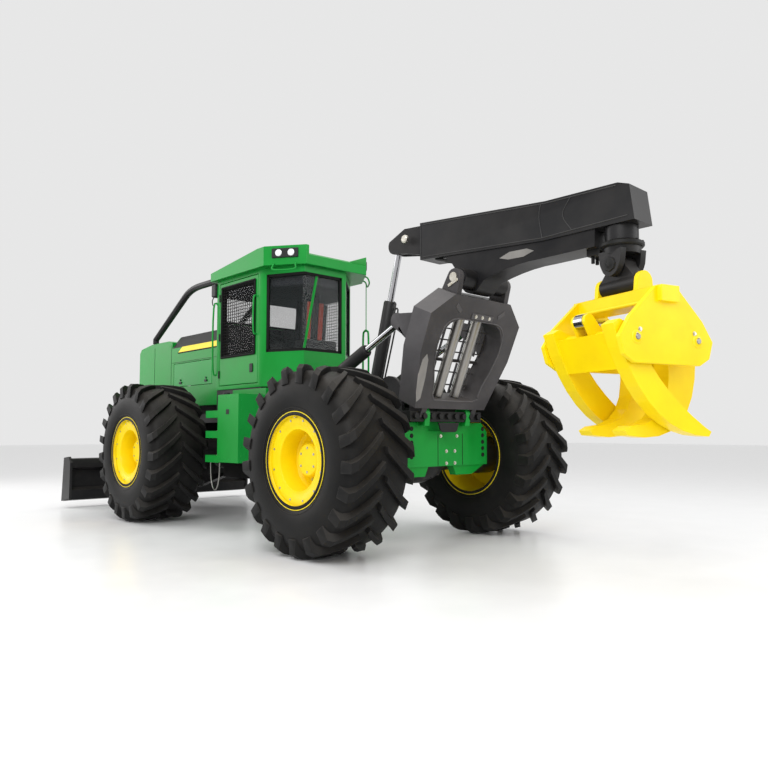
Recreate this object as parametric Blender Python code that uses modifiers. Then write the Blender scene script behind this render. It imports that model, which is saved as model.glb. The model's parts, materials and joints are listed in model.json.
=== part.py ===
"""Grapple skidder: an articulated forestry tractor with a blade in front and an arch, boom and grapple behind.

Metres, +Z up. The machine faces -Y and its left side is +X. The origin is on the ground, in the middle of its
outline. Each piece is one named object. A piece that moves hangs from an empty on its joint's axis.
"""
import math

import bmesh
import bpy
from mathutils import Matrix, Vector

# Wheels
TYRE_RADIUS = 0.92
TYRE_WIDTH = 0.78
SEAT_RADIUS = 0.44          # where the tyre's bead sits on the rim
FLANGE_HEIGHT = 0.03
RIM_WIDTH = 0.72
RIM_WALL = 0.03
DISC_OFFSET = 0.06          # outboard of the wheel's middle
DISC_THICKNESS = 0.04
HUB_RADIUS = 0.17
HUB_CAP = 0.14
TRACK = 2.51
WHEELBASE = 3.82

# Lengths along the machine
BLADE_AHEAD = 2.45          # cutting edge, ahead of the front axle
ROTATOR_BEHIND = 2.50       # rotator, behind the rear axle
GRAPPLE_REACH = 0.575       # grapple, behind the rotator
REAR_AXLE = (WHEELBASE + BLADE_AHEAD - ROTATOR_BEHIND - GRAPPLE_REACH) / 2
FRONT_AXLE = REAR_AXLE - WHEELBASE
STEER_Y = (FRONT_AXLE + REAR_AXLE) / 2

GAP = 0.0003                # between pieces that touch
RUN = 0.006                 # between pieces that move past each other
PIN_RUN = 0.001             # at a pin's eye

# Axles
AXLE_TUBE = 0.15
DIFFERENTIAL = 0.29
DIFFERENTIAL_WIDTH = 0.42
AXLE_HUB = 0.22
TRUNNION_RADIUS = 0.10
TRUNNION_REACH = 0.42

# Front frame
FRAME_HALF = 0.36
FRAME_BOTTOM = 0.56
FRAME_TOP = 1.45
FRAME_NOSE = 1.72           # ahead of the front axle
FRAME_TAIL = 0.75           # ahead of the steering pin
CRADLE_HALF = 0.38
CRADLE_TOP = 1.32
STEER_PIN = 0.07
STEER_BOSS = 0.16
STEER_PLATES = ((0.58, 0.70), (1.22, 1.34))
DECK_HALF = 0.70
DECK_TOP = 1.745

# Hood
HOOD_HALF = 0.62
HOOD_FRONT = 1.88           # ahead of the front axle
COOLER_LENGTH = 1.15
COOLER_TOP = 2.57
HOOD_BOTTOM = 1.56
HOOD_SHOULDER = 2.45
HOOD_TOP = 2.63
HOOD_CREST_HALF = 0.48
HOOD_WALL = 0.03
HOOD_SEAM = 2.20
ENGINE_DOOR_BOTTOM = 1.86
ENGINE_SIZE = (0.68, 1.15, 0.62)
GRILLE_HALF = 0.52
GRILLE_LOW = 1.66
GRILLE_HIGH = 2.42

# Cab
CAB_HALF = 0.72
CAB_FRONT_Y = FRONT_AXLE + 0.77
CAB_SIDE_REAR_Y = FRONT_AXLE + 1.86
CAB_REAR_Y = FRONT_AXLE + 2.40
CAB_KINK_LEFT = 0.46
CAB_KINK_RIGHT = -0.19
CAB_FLOOR = DECK_TOP + GAP
CAB_SILL = 2.17
CAB_HEAD = 3.14
CAB_TOP = 3.22
CAB_WALL = 0.05
DOOR_FRONT_Y = CAB_FRONT_Y + 0.08
DOOR_REAR_Y = CAB_SIDE_REAR_Y - 0.08
DOOR_LOW = 1.80
DOOR_HIGH = 3.17
DOOR_FRAME = 0.06
ROOF_HALF = 0.80
ROOF_FRONT_Y = FRONT_AXLE + 0.62
ROOF_REAR_Y = FRONT_AXLE + 2.47
ROOF_KINK = 0.48
ROOF_CORNER_Y = FRONT_AXLE + 2.02
ROOF_TOP = 3.46
ROOF_FRONT_TOP = 3.32
ROOF_REAR_TOP = 3.345
RISER_RADIUS = 0.05
RISER_X = 0.60
RISER_FOOT_Y = FRONT_AXLE - 1.34

# Steps
STEP_OUTER = 1.12
STEP_BOX_REAR_Y = STEER_Y + 0.10
STEP_BOX_LENGTH = 0.48
STEP_LADDER = 0.29
STEP_BOTTOM = 0.81
STEP_TOP = 1.64
STEP_TREADS = (0.81, 1.11, 1.36)
TREAD_THICKNESS = 0.09
CABLE_RADIUS = 0.009
CABLE_DROP = 0.34

# Blade
BLADE_HALF = 1.60
BLADE_LOW = 0.10
BLADE_HIGH = 0.77
BLADE_PLATE = 0.05
BLADE_PIVOT = (FRONT_AXLE - 0.53, 0.72)
ARM_INNER = 0.47
ARM_OUTER = 0.59

# Rear frame
REAR_FRAME_FRONT = 0.45     # behind the steering pin
REAR_FRAME_TOP = 1.30
REAR_PLATE_Y = REAR_AXLE + 0.40
REAR_PLATE_HALF = 0.75
REAR_PLATE_LOW = 0.828
REAR_PLATE_HIGH = 1.285
SADDLE_HALF = 0.33
SADDLE_TOP = 1.24

# Arch, in its own leaning frame: x across, y back, z up the arch
ARCH_PIVOT = (REAR_AXLE + 0.42, 1.37)
ARCH_LEAN = math.radians(22.8)
ARCH_FACE_BACK = 0.087
ARCH_FACE_FRONT = -0.165
ARCH_FOOT_HALF = 0.42
ARCH_LUG_THICKNESS = 0.07
ROLLER_RADIUS = 0.055
ROLLER_X = 0.135

# Boom
BOOM_PIVOT = (REAR_AXLE + 0.94, 2.70)
BOOM_HALF = 0.155
BOOM_TAIL = (REAR_AXLE - 0.22, 3.29)
BOOM_TAIL_GAP = 0.052
BOOM_TAIL_PLATE = 0.04
BOOM_UNDERSIDE = 2.935
ROTATOR_Y = REAR_AXLE + ROTATOR_BEHIND
ROTATOR_RADIUS = 0.14
ROTATOR_LOW = 2.80

# Grapple, in its own turned frame: x and z in the plane the tongs close in, y along their pins
GRAPPLE_TURN = math.radians(-16)
YOKE_LOW = 2.69
PITCH_Z = 2.60
ROLL_Z = 2.43
HEAD_TOP = 2.345
HEAD_LENGTH_HALF = 0.50
HUB_PLATE_INNER = 0.42
HUB_PLATE = 0.04
TONG_PIN = (0.335, 1.92)
TONG_BARREL = 0.085
TONG_EAR = (0.455, 2.09)
TONG_LENGTH_HALF = HUB_PLATE_INNER - RUN

# Hydraulic cylinders: bore and rod radii, barrel length and eye width, with the eyes' places
CYLINDERS = {
    # name: (barrel eye, rod eye, barrel radius, rod radius, barrel length, rod length, eye half-width)
    "steering_cylinder": (
        (0.475, STEER_Y - 1.00, 0.95), (0.43, STEER_Y + 0.38, 0.95), 0.050, 0.030, 0.86, 0.92, 0.045),
    "blade_cylinder": (
        (0.415, FRONT_AXLE - 1.05, 1.39), (0.415, FRONT_AXLE - 1.16, 0.60), 0.044, 0.024, 0.48, 0.42, 0.044),
    "arch_cylinder": (
        (0.52, REAR_AXLE - 1.15, 1.62), (0.52, REAR_AXLE + 0.33, 2.32), 0.070, 0.036, 1.05, 1.20, 0.045),
    "boom_cylinder": (
        (0.0, REAR_AXLE - 0.72, 1.42), (0.0, BOOM_TAIL[0], BOOM_TAIL[1]), 0.075, 0.036, 1.31, 1.29, 0.050),
    "grapple_cylinder": (
        (-TONG_EAR[0], 0.0, TONG_EAR[1]), (TONG_EAR[0], 0.0, TONG_EAR[1]), 0.045, 0.026, 0.54, 0.49, 0.050),
}
EYE_RADIUS = {"steering_cylinder": 0.06, "blade_cylinder": 0.045, "arch_cylinder": 0.07,
              "boom_cylinder": 0.075, "grapple_cylinder": 0.06}
LUG_PLATE = 0.03

ROUND = 32                  # facets of a large turned piece
SMALL_ROUND = 20
SIDES = (("left", 1), ("right", -1))

for item in list(bpy.data.objects):
    bpy.data.objects.remove(item, do_unlink=True)

PARTS = bpy.data.collections.new("skidder")
TOOLS = bpy.data.collections.new("cutters")
bpy.context.scene.collection.children.link(PARTS)
bpy.context.scene.collection.children.link(TOOLS)
WORLD = {}


# ---------------------------------------------------------------- materials

def paint(name, colour, roughness, metallic=0.0):
    """A plain Principled material."""
    material = bpy.data.materials.new(name)
    material.use_nodes = True
    shader = material.node_tree.nodes["Principled BSDF"]
    shader.inputs["Base Color"].default_value = (*colour, 1.0)
    shader.inputs["Roughness"].default_value = roughness
    shader.inputs["Metallic"].default_value = metallic
    return material


GREEN = paint("green_paint", (0.02, 0.33, 0.05), 0.35)
YELLOW = paint("yellow_paint", (0.95, 0.66, 0.01), 0.35)
BLACK = paint("black_paint", (0.02, 0.02, 0.022), 0.45)
RUBBER = paint("rubber", (0.02, 0.02, 0.02), 0.85)
CHROME = paint("chrome", (0.75, 0.75, 0.76), 0.12, 1.0)
STEEL = paint("steel", (0.35, 0.35, 0.36), 0.4, 1.0)
CLOTH = paint("seat_cloth", (0.03, 0.03, 0.03), 0.9)
IRON = paint("cast_iron", (0.08, 0.08, 0.08), 0.6, 0.6)


# ---------------------------------------------------------------- building tools

def bend(start, corner, end, steps=6):
    """Points of a round stretch from start to end that heads for corner, without its last point."""
    points = []
    for i in range(steps):
        t = i / steps
        points.append(tuple((1 - t) ** 2 * a + 2 * t * (1 - t) * b + t * t * c
                            for a, b, c in zip(start, corner, end)))
    return points


def arc(centre, radius, first, last, steps=8):
    """Points on an arc about centre, from the first angle to the last, in degrees, both included."""
    return [(centre[0] + radius * math.cos(math.radians(first + (last - first) * i / steps)),
             centre[1] + radius * math.sin(math.radians(first + (last - first) * i / steps)))
            for i in range(steps + 1)]


def ring(radius, centre=(0.0, 0.0), facets=SMALL_ROUND):
    """A whole circle as an outline."""
    return arc(centre, radius, 0.0, 360.0 - 360.0 / facets, facets - 1)


def add(name, mesh):
    """A new object in the parts' collection."""
    thing = bpy.data.objects.new(name, mesh)
    PARTS.objects.link(thing)
    return thing


AXIS_TURN = {"x": (math.pi / 2, 0.0, math.pi / 2), "y": (math.pi / 2, 0.0, 0.0), "z": (0.0, 0.0, 0.0)}


def prism(name, outline, axis, low, high):
    """A flat outline given thickness along an axis: (y, z) points for x, (x, z) for y and (x, y) for z."""
    curve = bpy.data.curves.new(name, "CURVE")
    curve.dimensions = "2D"
    curve.fill_mode = "BOTH"
    curve.extrude = abs(high - low) / 2
    spline = curve.splines.new("POLY")
    spline.points.add(len(outline) - 1)
    for point, (u, v) in zip(spline.points, outline):
        point.co = (u, v, 0.0, 1.0)
    spline.use_cyclic_u = True
    flat = add(name, curve)
    flat.rotation_euler = AXIS_TURN[axis]
    flat.location["xyz".index(axis)] = (low + high) / 2
    graph = bpy.context.evaluated_depsgraph_get()
    mesh = bpy.data.meshes.new_from_object(flat.evaluated_get(graph))
    solid = add(name, mesh)
    solid.rotation_euler = flat.rotation_euler
    solid.location = flat.location
    bpy.data.objects.remove(flat, do_unlink=True)
    bpy.data.curves.remove(curve)
    solid.name = name
    shell = bmesh.new()
    shell.from_mesh(mesh)
    bmesh.ops.remove_doubles(shell, verts=shell.verts, dist=1e-5)
    bmesh.ops.recalc_face_normals(shell, faces=shell.faces)
    shell.to_mesh(mesh)
    shell.free()
    return solid


def box(name, low, high):
    """A block between two corners."""
    shell = bmesh.new()
    bmesh.ops.create_cube(shell, size=1.0)
    size = [b - a for a, b in zip(low, high)]
    bmesh.ops.scale(shell, vec=size, verts=shell.verts)
    mesh = bpy.data.meshes.new(name)
    shell.to_mesh(mesh)
    shell.free()
    block = add(name, mesh)
    block.location = [(a + b) / 2 for a, b in zip(low, high)]
    return block


def turned(name, profile, at, direction, facets=SMALL_ROUND):
    """A profile of (radius, height) points turned about a line through at. It runs down its outer side."""
    mesh = bpy.data.meshes.new(name)
    mesh.from_pydata([(r, 0.0, h) for r, h in profile], [(i, i + 1) for i in range(len(profile) - 1)], [])
    thing = add(name, mesh)
    screw = thing.modifiers.new("turn", "SCREW")
    screw.axis = "Z"
    screw.steps = facets
    screw.render_steps = facets
    screw.use_merge_vertices = True
    screw.merge_threshold = 0.0001
    thing.location = at
    thing.rotation_euler = Vector(direction).to_track_quat("Z", "Y").to_euler()
    return thing


def rod(name, radius, start, end, facets=SMALL_ROUND):
    """A round bar between two points."""
    line = Vector(end) - Vector(start)
    length = line.length
    return turned(name, [(0.0, length), (radius, length), (radius, 0.0), (0.0, 0.0)], start, line, facets)


def tube(name, points, radius, resolution=2, smooth=False):
    """A round tube along points, as a mesh with its caps welded."""
    curve = bpy.data.curves.new(name, "CURVE")
    curve.dimensions = "3D"
    curve.bevel_depth = radius
    curve.bevel_resolution = resolution
    curve.use_fill_caps = True
    spline = curve.splines.new("POLY")
    spline.points.add(len(points) - 1)
    for point, place in zip(spline.points, points):
        point.co = (*place, 1.0)
    path = add(name, curve)
    graph = bpy.context.evaluated_depsgraph_get()
    mesh = bpy.data.meshes.new_from_object(path.evaluated_get(graph))
    bpy.data.objects.remove(path, do_unlink=True)
    bpy.data.curves.remove(curve)
    shell = bmesh.new()
    shell.from_mesh(mesh)
    bmesh.ops.remove_doubles(shell, verts=shell.verts, dist=1e-5)
    bmesh.ops.recalc_face_normals(shell, faces=shell.faces)
    shell.to_mesh(mesh)
    shell.free()
    return add(name, mesh)


def combine(target, operation, tools):
    """Adds one exact boolean to target for each tool, and puts the tools away."""
    for tool in tools:
        change = target.modifiers.new(operation.lower(), "BOOLEAN")
        change.operation = operation
        change.solver = "EXACT"
        change.object = tool
        tool.hide_render = True
        tool.display_type = "WIRE"
        PARTS.objects.unlink(tool)
        TOOLS.objects.link(tool)
        tool.parent = target
        tool.matrix_parent_inverse = target.matrix_basis.inverted()
    return target


def join(target, *tools):
    return combine(target, "UNION", tools)


def cut(target, *tools):
    return combine(target, "DIFFERENCE", tools)


def pivot(name, matrix, parent=None):
    """An empty on a joint's axis."""
    empty = bpy.data.objects.new(name, None)
    PARTS.objects.link(empty)
    WORLD[name] = matrix
    empty.matrix_basis = matrix
    if parent is not None:
        empty.parent = bpy.data.objects[parent]
        empty.matrix_parent_inverse = WORLD[parent].inverted()
    return name


def place(thing, material, parent, frame=None):
    """Gives a finished piece its material and hangs it from its joint's empty."""
    basis = Matrix.Translation(thing.location) @ thing.rotation_euler.to_matrix().to_4x4()
    thing.matrix_basis = (frame or Matrix()) @ basis
    thing.parent = bpy.data.objects[parent]
    thing.matrix_parent_inverse = WORLD[parent].inverted()
    thing.data.materials.clear()
    thing.data.materials.append(material)
    thing.data.shade_smooth()
    thing.data.set_sharp_from_angle(angle=math.radians(35))
    return thing


def eye_lugs(name, at, axis, eye_half, radius, foot):
    """Two plates that hold an eye: the outline runs from a foot (two points) round the pin."""
    across = "xyz".index(axis)
    plane = [i for i in range(3) if i != across]
    u, v = at[plane[0]], at[plane[1]]
    heading = math.degrees(math.atan2(v - (foot[0][1] + foot[1][1]) / 2, u - (foot[0][0] + foot[1][0]) / 2))
    outline = [foot[0]] + arc((u, v), radius, heading - 90, heading + 90) + [foot[1]]
    plates = []
    for sign in (1, -1):
        near = at[across] + sign * (eye_half + PIN_RUN)
        far = near + sign * LUG_PLATE
        plates.append(prism(f"{name}_lug", outline, axis, min(near, far), max(near, far)))
    return plates


# ---------------------------------------------------------------- joint axes

GROUND = Matrix()
GRAPPLE_FRAME = Matrix.Translation((0.0, ROTATOR_Y, 0.0)) @ Matrix.Rotation(GRAPPLE_TURN, 4, "Z")
ARCH_FRAME = Matrix.Translation((0.0, *ARCH_PIVOT)) @ Matrix.Rotation(-ARCH_LEAN, 4, "X")


def at_point(*point):
    return Matrix.Translation(point)


pivot("front_body", GROUND)
pivot("front_axle_pivot", at_point(0.0, FRONT_AXLE, TYRE_RADIUS), "front_body")
pivot("steering_pivot", at_point(0.0, STEER_Y, 0.96), "front_body")
pivot("blade_pivot", at_point(0.0, *BLADE_PIVOT), "front_body")
pivot("arch_pivot", ARCH_FRAME, "steering_pivot")
pivot("boom_pivot", at_point(0.0, *BOOM_PIVOT), "arch_pivot")
pivot("rotator_pivot", GRAPPLE_FRAME @ at_point(0.0, 0.0, ROTATOR_LOW), "boom_pivot")
pivot("pitch_pivot", GRAPPLE_FRAME @ at_point(0.0, 0.0, PITCH_Z), "rotator_pivot")
pivot("roll_pivot", GRAPPLE_FRAME @ at_point(0.0, 0.0, ROLL_Z), "pitch_pivot")


# ---------------------------------------------------------------- wheels and axles

def rim_profile():
    """(radius, distance outboard) down the rim's outside, from the hub cap to the back of the disc."""
    half = RIM_WIDTH / 2
    flange = SEAT_RADIUS + FLANGE_HEIGHT
    lip = half - RIM_WALL
    inner = SEAT_RADIUS - RIM_WALL
    front = DISC_OFFSET + DISC_THICKNESS
    return [
        (0.0, front + HUB_CAP), (HUB_RADIUS * 0.8, front + HUB_CAP), (HUB_RADIUS, front + HUB_CAP * 0.8),
        (HUB_RADIUS, front), (inner - 0.09, front), (inner, front + 0.12), (inner, half),
        (flange, half), (flange, lip), (SEAT_RADIUS, lip - FLANGE_HEIGHT),
        (SEAT_RADIUS, FLANGE_HEIGHT - lip), (flange, -lip), (flange, -half),
        (inner, -half), (inner - 0.02, DISC_OFFSET - 0.02), (inner - 0.09, DISC_OFFSET), (0.0, DISC_OFFSET)]


def tyre_profile():
    """(radius, distance outboard) round the tyre's section, from one bead to the other."""
    bead = SEAT_RADIUS + GAP
    lip = RIM_WIDTH / 2 - RIM_WALL - FLANGE_HEIGHT - GAP
    flange = SEAT_RADIUS + FLANGE_HEIGHT + GAP
    half = TYRE_WIDTH / 2
    side = RIM_WIDTH / 2 - RIM_WALL - GAP
    return [
        (bead, lip), (flange, side), (0.60, half - 0.01), (0.74, half), (TYRE_RADIUS - 0.05, half - 0.01),
        (TYRE_RADIUS, half - 0.05), (TYRE_RADIUS, 0.05 - half), (TYRE_RADIUS - 0.05, 0.01 - half),
        (0.74, -half), (0.60, 0.01 - half), (flange, -side), (bead, -lip), (bead, lip)]


def wheel(end, axle_y, side, sign, parent):
    """A rim with its hub, and the tyre on it."""
    centre = (sign * TRACK / 2, axle_y, TYRE_RADIUS)
    axis = pivot(f"wheel_{end}_{side}_axis", at_point(*centre), parent)
    rim = turned(f"rim_{end}_{side}", rim_profile(), centre, (sign, 0, 0), ROUND)
    place(rim, YELLOW, axis)
    tyre = turned(f"tyre_{end}_{side}", tyre_profile(), centre, (sign, 0, 0), ROUND)
    place(tyre, RUBBER, axis)


def axle(name, y):
    """A differential with a tube to each hub, turned about the wheels' line."""
    reach = TRACK / 2 + DISC_OFFSET - GAP
    hub_start = TRACK / 2 - TYRE_WIDTH / 2 + 0.04
    half = DIFFERENTIAL_WIDTH / 2
    side = [(DIFFERENTIAL, 0.05), (DIFFERENTIAL * 0.85, half), (AXLE_TUBE + 0.02, half + 0.10),
            (AXLE_TUBE, hub_start - 0.10), (AXLE_HUB, hub_start), (AXLE_HUB, reach - 0.08),
            (HUB_RADIUS, reach), (0.0, reach)]
    profile = [(r, x) for r, x in reversed(side)] + [(r, -x) for r, x in side]
    return turned(name, profile, (0.0, y, TYRE_RADIUS), (1, 0, 0), ROUND)


def axles():
    front = axle("front_axle", FRONT_AXLE)
    join(front, rod("trunnion", TRUNNION_RADIUS, (0.0, FRONT_AXLE - TRUNNION_REACH, TYRE_RADIUS),
                    (0.0, FRONT_AXLE + TRUNNION_REACH, TYRE_RADIUS)))
    place(front, BLACK, "front_axle_pivot")
    rear = axle("rear_axle", REAR_AXLE)
    for sign in (1, -1):
        inner, outer = sorted((sign * 0.20, sign * FRAME_HALF))
        join(rear, box("saddle", (inner, REAR_AXLE - SADDLE_HALF + GAP, TYRE_RADIUS),
                       (outer, REAR_AXLE + SADDLE_HALF - GAP, SADDLE_TOP - GAP)))
    place(rear, BLACK, "steering_pivot")
    for side, sign in SIDES:
        wheel("front", FRONT_AXLE, side, sign, "front_axle_pivot")
        wheel("rear", REAR_AXLE, side, sign, "steering_pivot")


# ---------------------------------------------------------------- front frame

def front_frame():
    nose = FRONT_AXLE - FRAME_NOSE
    tail = STEER_Y - FRAME_TAIL
    cradle_front = FRONT_AXLE - CRADLE_HALF
    cradle_rear = FRONT_AXLE + CRADLE_HALF
    outline = [
        (nose, FRAME_BOTTOM + 0.25), (nose + 0.20, FRAME_BOTTOM), (cradle_front, FRAME_BOTTOM),
        (cradle_front, CRADLE_TOP), (cradle_rear, CRADLE_TOP), (cradle_rear, FRAME_BOTTOM),
        (tail, FRAME_BOTTOM), (tail, FRAME_TOP), (nose, FRAME_TOP)]
    frame = prism("front_frame", outline, "x", -FRAME_HALF, FRAME_HALF)
    for low, high in STEER_PLATES:
        plan = [(-FRAME_HALF + 0.02, tail - 0.05)]
        plan += arc((0.0, STEER_Y), STEER_BOSS, 180, 0)
        plan += [(FRAME_HALF - 0.02, tail - 0.05)]
        join(frame, prism("hinge_plate", plan[::-1], "z", low, high))
    join(frame, rod("steering_pin", STEER_PIN, (0.0, STEER_Y, STEER_PLATES[0][0] + 0.03),
                    (0.0, STEER_Y, STEER_PLATES[1][1] - 0.03)))
    join(frame, box("web", (-0.10, tail - 0.05, STEER_PLATES[0][1] - 0.02),
                    (0.10, STEER_Y - 0.32, STEER_PLATES[1][0] + 0.02)))
    deck = [(DECK_HALF, CAB_FRONT_Y - 0.01), (DECK_HALF, CAB_SIDE_REAR_Y - 0.02), (0.42, CAB_REAR_Y - 0.18),
            (-0.42, CAB_REAR_Y - 0.18), (-DECK_HALF, CAB_SIDE_REAR_Y - 0.02), (-DECK_HALF, CAB_FRONT_Y - 0.01)]
    join(frame, prism("deck", deck, "z", FRAME_TOP - 0.02, DECK_TOP))
    for sign in (1, -1):
        cylinder = CYLINDERS["steering_cylinder"]
        eye, half = cylinder[0], cylinder[6]
        inner, outer = sorted((sign * (FRAME_HALF - 0.03), sign * (eye[0] + 0.07)))
        for low in (eye[2] + half + PIN_RUN, eye[2] - half - PIN_RUN - LUG_PLATE):
            join(frame, box("steering_lug", (inner, eye[1] - 0.08, low), (outer, eye[1] + 0.08, low + LUG_PLATE)))
        join(frame, rod("arm_boss", 0.10, (sign * (FRAME_HALF - 0.05), *BLADE_PIVOT),
                        (sign * (ARM_INNER - PIN_RUN), *BLADE_PIVOT)))
        eye, half = CYLINDERS["blade_cylinder"][0], CYLINDERS["blade_cylinder"][6]
        join(frame, rod("blade_boss", 0.04, (sign * (FRAME_HALF - 0.05), *eye[1:]),
                        (sign * (eye[0] - half - PIN_RUN), *eye[1:])))
    cut(frame, rod("trunnion_bore", TRUNNION_RADIUS + 0.005, (0.0, FRONT_AXLE - TRUNNION_REACH - RUN, TYRE_RADIUS),
                   (0.0, FRONT_AXLE + TRUNNION_REACH + RUN, TYRE_RADIUS)))
    place(frame, BLACK, "front_body")


def steps():
    """A box with a ladder of treads ahead of it, hung on each side of the deck."""
    rear = STEP_BOX_REAR_Y
    front = rear - STEP_BOX_LENGTH
    ladder = front - STEP_LADDER
    inner = DECK_HALF + GAP
    for side, sign in SIDES:
        def span(a, b):
            return sorted((sign * a, sign * b))
        low, high = span(inner, inner + 0.04)
        unit = box(f"step_box_{side}", (low, ladder, STEP_BOTTOM), (high, rear - 0.001, DECK_TOP - 0.02))
        low, high = span(inner + 0.03, STEP_OUTER)
        join(unit, box("body", (low, front, STEP_BOTTOM + 0.01), (high, rear, STEP_TOP)))
        for height in STEP_TREADS:
            join(unit, box("tread", (low, ladder - 0.002, height + 0.002),
                           (high, front + 0.03, height + TREAD_THICKNESS)))
        place(unit, GREEN, "front_body")
        start = Vector((sign * (STEP_OUTER - 0.05), ladder + 0.05, STEP_BOTTOM + 0.002 - GAP))
        end = Vector((sign * (STEP_OUTER - 0.05), front - 0.02, STEP_BOTTOM + 0.002 - GAP))
        points = []
        for i in range(17):
            angle = math.pi * i / 16
            drop = CABLE_DROP * math.sin(angle) ** 0.8
            along = (1 - math.cos(angle)) / 2
            points.append(start.lerp(end, along) - Vector((0, 0, drop)))
        place(tube(f"step_cable_{side}", points, CABLE_RADIUS), STEEL, "front_body")


# ---------------------------------------------------------------- hood and engine

def hood_section(inset):
    """The hood's section across the machine, set in by a wall."""
    side = HOOD_HALF - inset
    crest = HOOD_CREST_HALF - inset * 0.6
    return [(side, HOOD_BOTTOM if inset == 0 else HOOD_BOTTOM - 0.1), (side, HOOD_SHOULDER - inset * 0.4),
            (crest, HOOD_TOP - inset), (-crest, HOOD_TOP - inset), (-side, HOOD_SHOULDER - inset * 0.4),
            (-side, HOOD_BOTTOM if inset == 0 else HOOD_BOTTOM - 0.1)]


def engine_doors_span():
    start = FRONT_AXLE - HOOD_FRONT + COOLER_LENGTH + 0.06
    return start, CAB_FRONT_Y - 0.30


def hood():
    front = FRONT_AXLE - HOOD_FRONT
    cooler_rear = front + COOLER_LENGTH
    rear = CAB_FRONT_Y - 0.02
    shell = prism("hood", hood_section(0.0), "y", cooler_rear - 0.02, rear)
    cooler = [(front, FRAME_TOP + GAP), (cooler_rear, FRAME_TOP + GAP), (cooler_rear, COOLER_TOP - 0.03),
              (cooler_rear - 0.12, COOLER_TOP), (front + 0.45, COOLER_TOP), (front + 0.06, COOLER_TOP - 0.05),
              (front, COOLER_TOP - 0.11)]
    join(shell, prism("cooler", cooler, "x", -HOOD_HALF, HOOD_HALF))
    cut(shell, prism("hood_room", hood_section(HOOD_WALL), "y", cooler_rear - 0.10, rear + 0.1))
    cut(shell, box("cooler_room", (-HOOD_HALF + HOOD_WALL, front + 0.06, FRAME_TOP - 0.1),
                   (HOOD_HALF - HOOD_WALL, cooler_rear - 0.08, COOLER_TOP - 0.12)))
    cut(shell, box("grille_hole", (-GRILLE_HALF - RUN, front - 0.1, GRILLE_LOW - RUN),
                   (GRILLE_HALF + RUN, front + 0.2, GRILLE_HIGH + RUN)))
    door_front, door_rear = engine_doors_span()
    cut(shell, box("door_hole", (-1.0, door_front - RUN, ENGINE_DOOR_BOTTOM - RUN),
                   (1.0, door_rear + RUN, HOOD_SEAM + RUN)))
    place(shell, GREEN, "front_body")

    axis = pivot("grille_axis", at_point(GRILLE_HALF, front, 2.0), "front_body")
    door = box("grille_door", (-GRILLE_HALF, front, GRILLE_LOW), (GRILLE_HALF, front + 0.05, GRILLE_HIGH))
    rows = 6
    pitch = (GRILLE_HIGH - GRILLE_LOW - 0.16) / rows
    for row in range(rows):
        low = GRILLE_LOW + 0.08 + pitch * (row + 0.25)
        cut(door, box("louvre", (-GRILLE_HALF + 0.08, front - 0.1, low), (GRILLE_HALF - 0.08, front + 0.2,
                                                                      low + pitch * 0.5)))
    place(door, BLACK, axis)

    for side, sign in SIDES:
        low, high = sorted((sign * (HOOD_HALF - HOOD_WALL), sign * HOOD_HALF))
        axis = pivot(f"engine_door_{side}_axis", at_point(sign * HOOD_HALF, 0.0, HOOD_SEAM), "front_body")
        panel = box(f"engine_door_{side}", (low, door_front, ENGINE_DOOR_BOTTOM), (high, door_rear, HOOD_SEAM))
        place(panel, GREEN, axis)

    width, length, height = ENGINE_SIZE
    middle = (door_front + door_rear) / 2
    block = box("engine_block", (-width / 2, middle - length / 2, FRAME_TOP + GAP),
                (width / 2, middle + length / 2, FRAME_TOP + height))
    place(block, IRON, "front_body")


# ---------------------------------------------------------------- cab

def cab_plan(inset):
    """The cab's outline from above. Its right rear corner is cut off more than its left one."""
    corner = inset * 0.5
    return [
        (CAB_HALF - inset, CAB_FRONT_Y + inset), (CAB_HALF - inset, CAB_SIDE_REAR_Y - corner),
        (CAB_KINK_LEFT - corner, CAB_REAR_Y - inset), (CAB_KINK_RIGHT + corner, CAB_REAR_Y - inset),
        (-CAB_HALF + inset, CAB_SIDE_REAR_Y - corner), (-CAB_HALF + inset, CAB_FRONT_Y + inset)]


def wall_window(name, first, second, low, high, before, after):
    """A cutter for a window in the wall between two plan corners."""
    start, end = Vector(first), Vector(second)
    along = (end - start).normalized()
    across = Vector((along.y, -along.x)) * 0.2
    start += along * (before or -0.001)
    end -= along * (after or -0.001)
    plan = [tuple(start + across), tuple(end + across), tuple(end - across), tuple(start - across)]
    return prism(name, plan, "z", low, high)


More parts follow.
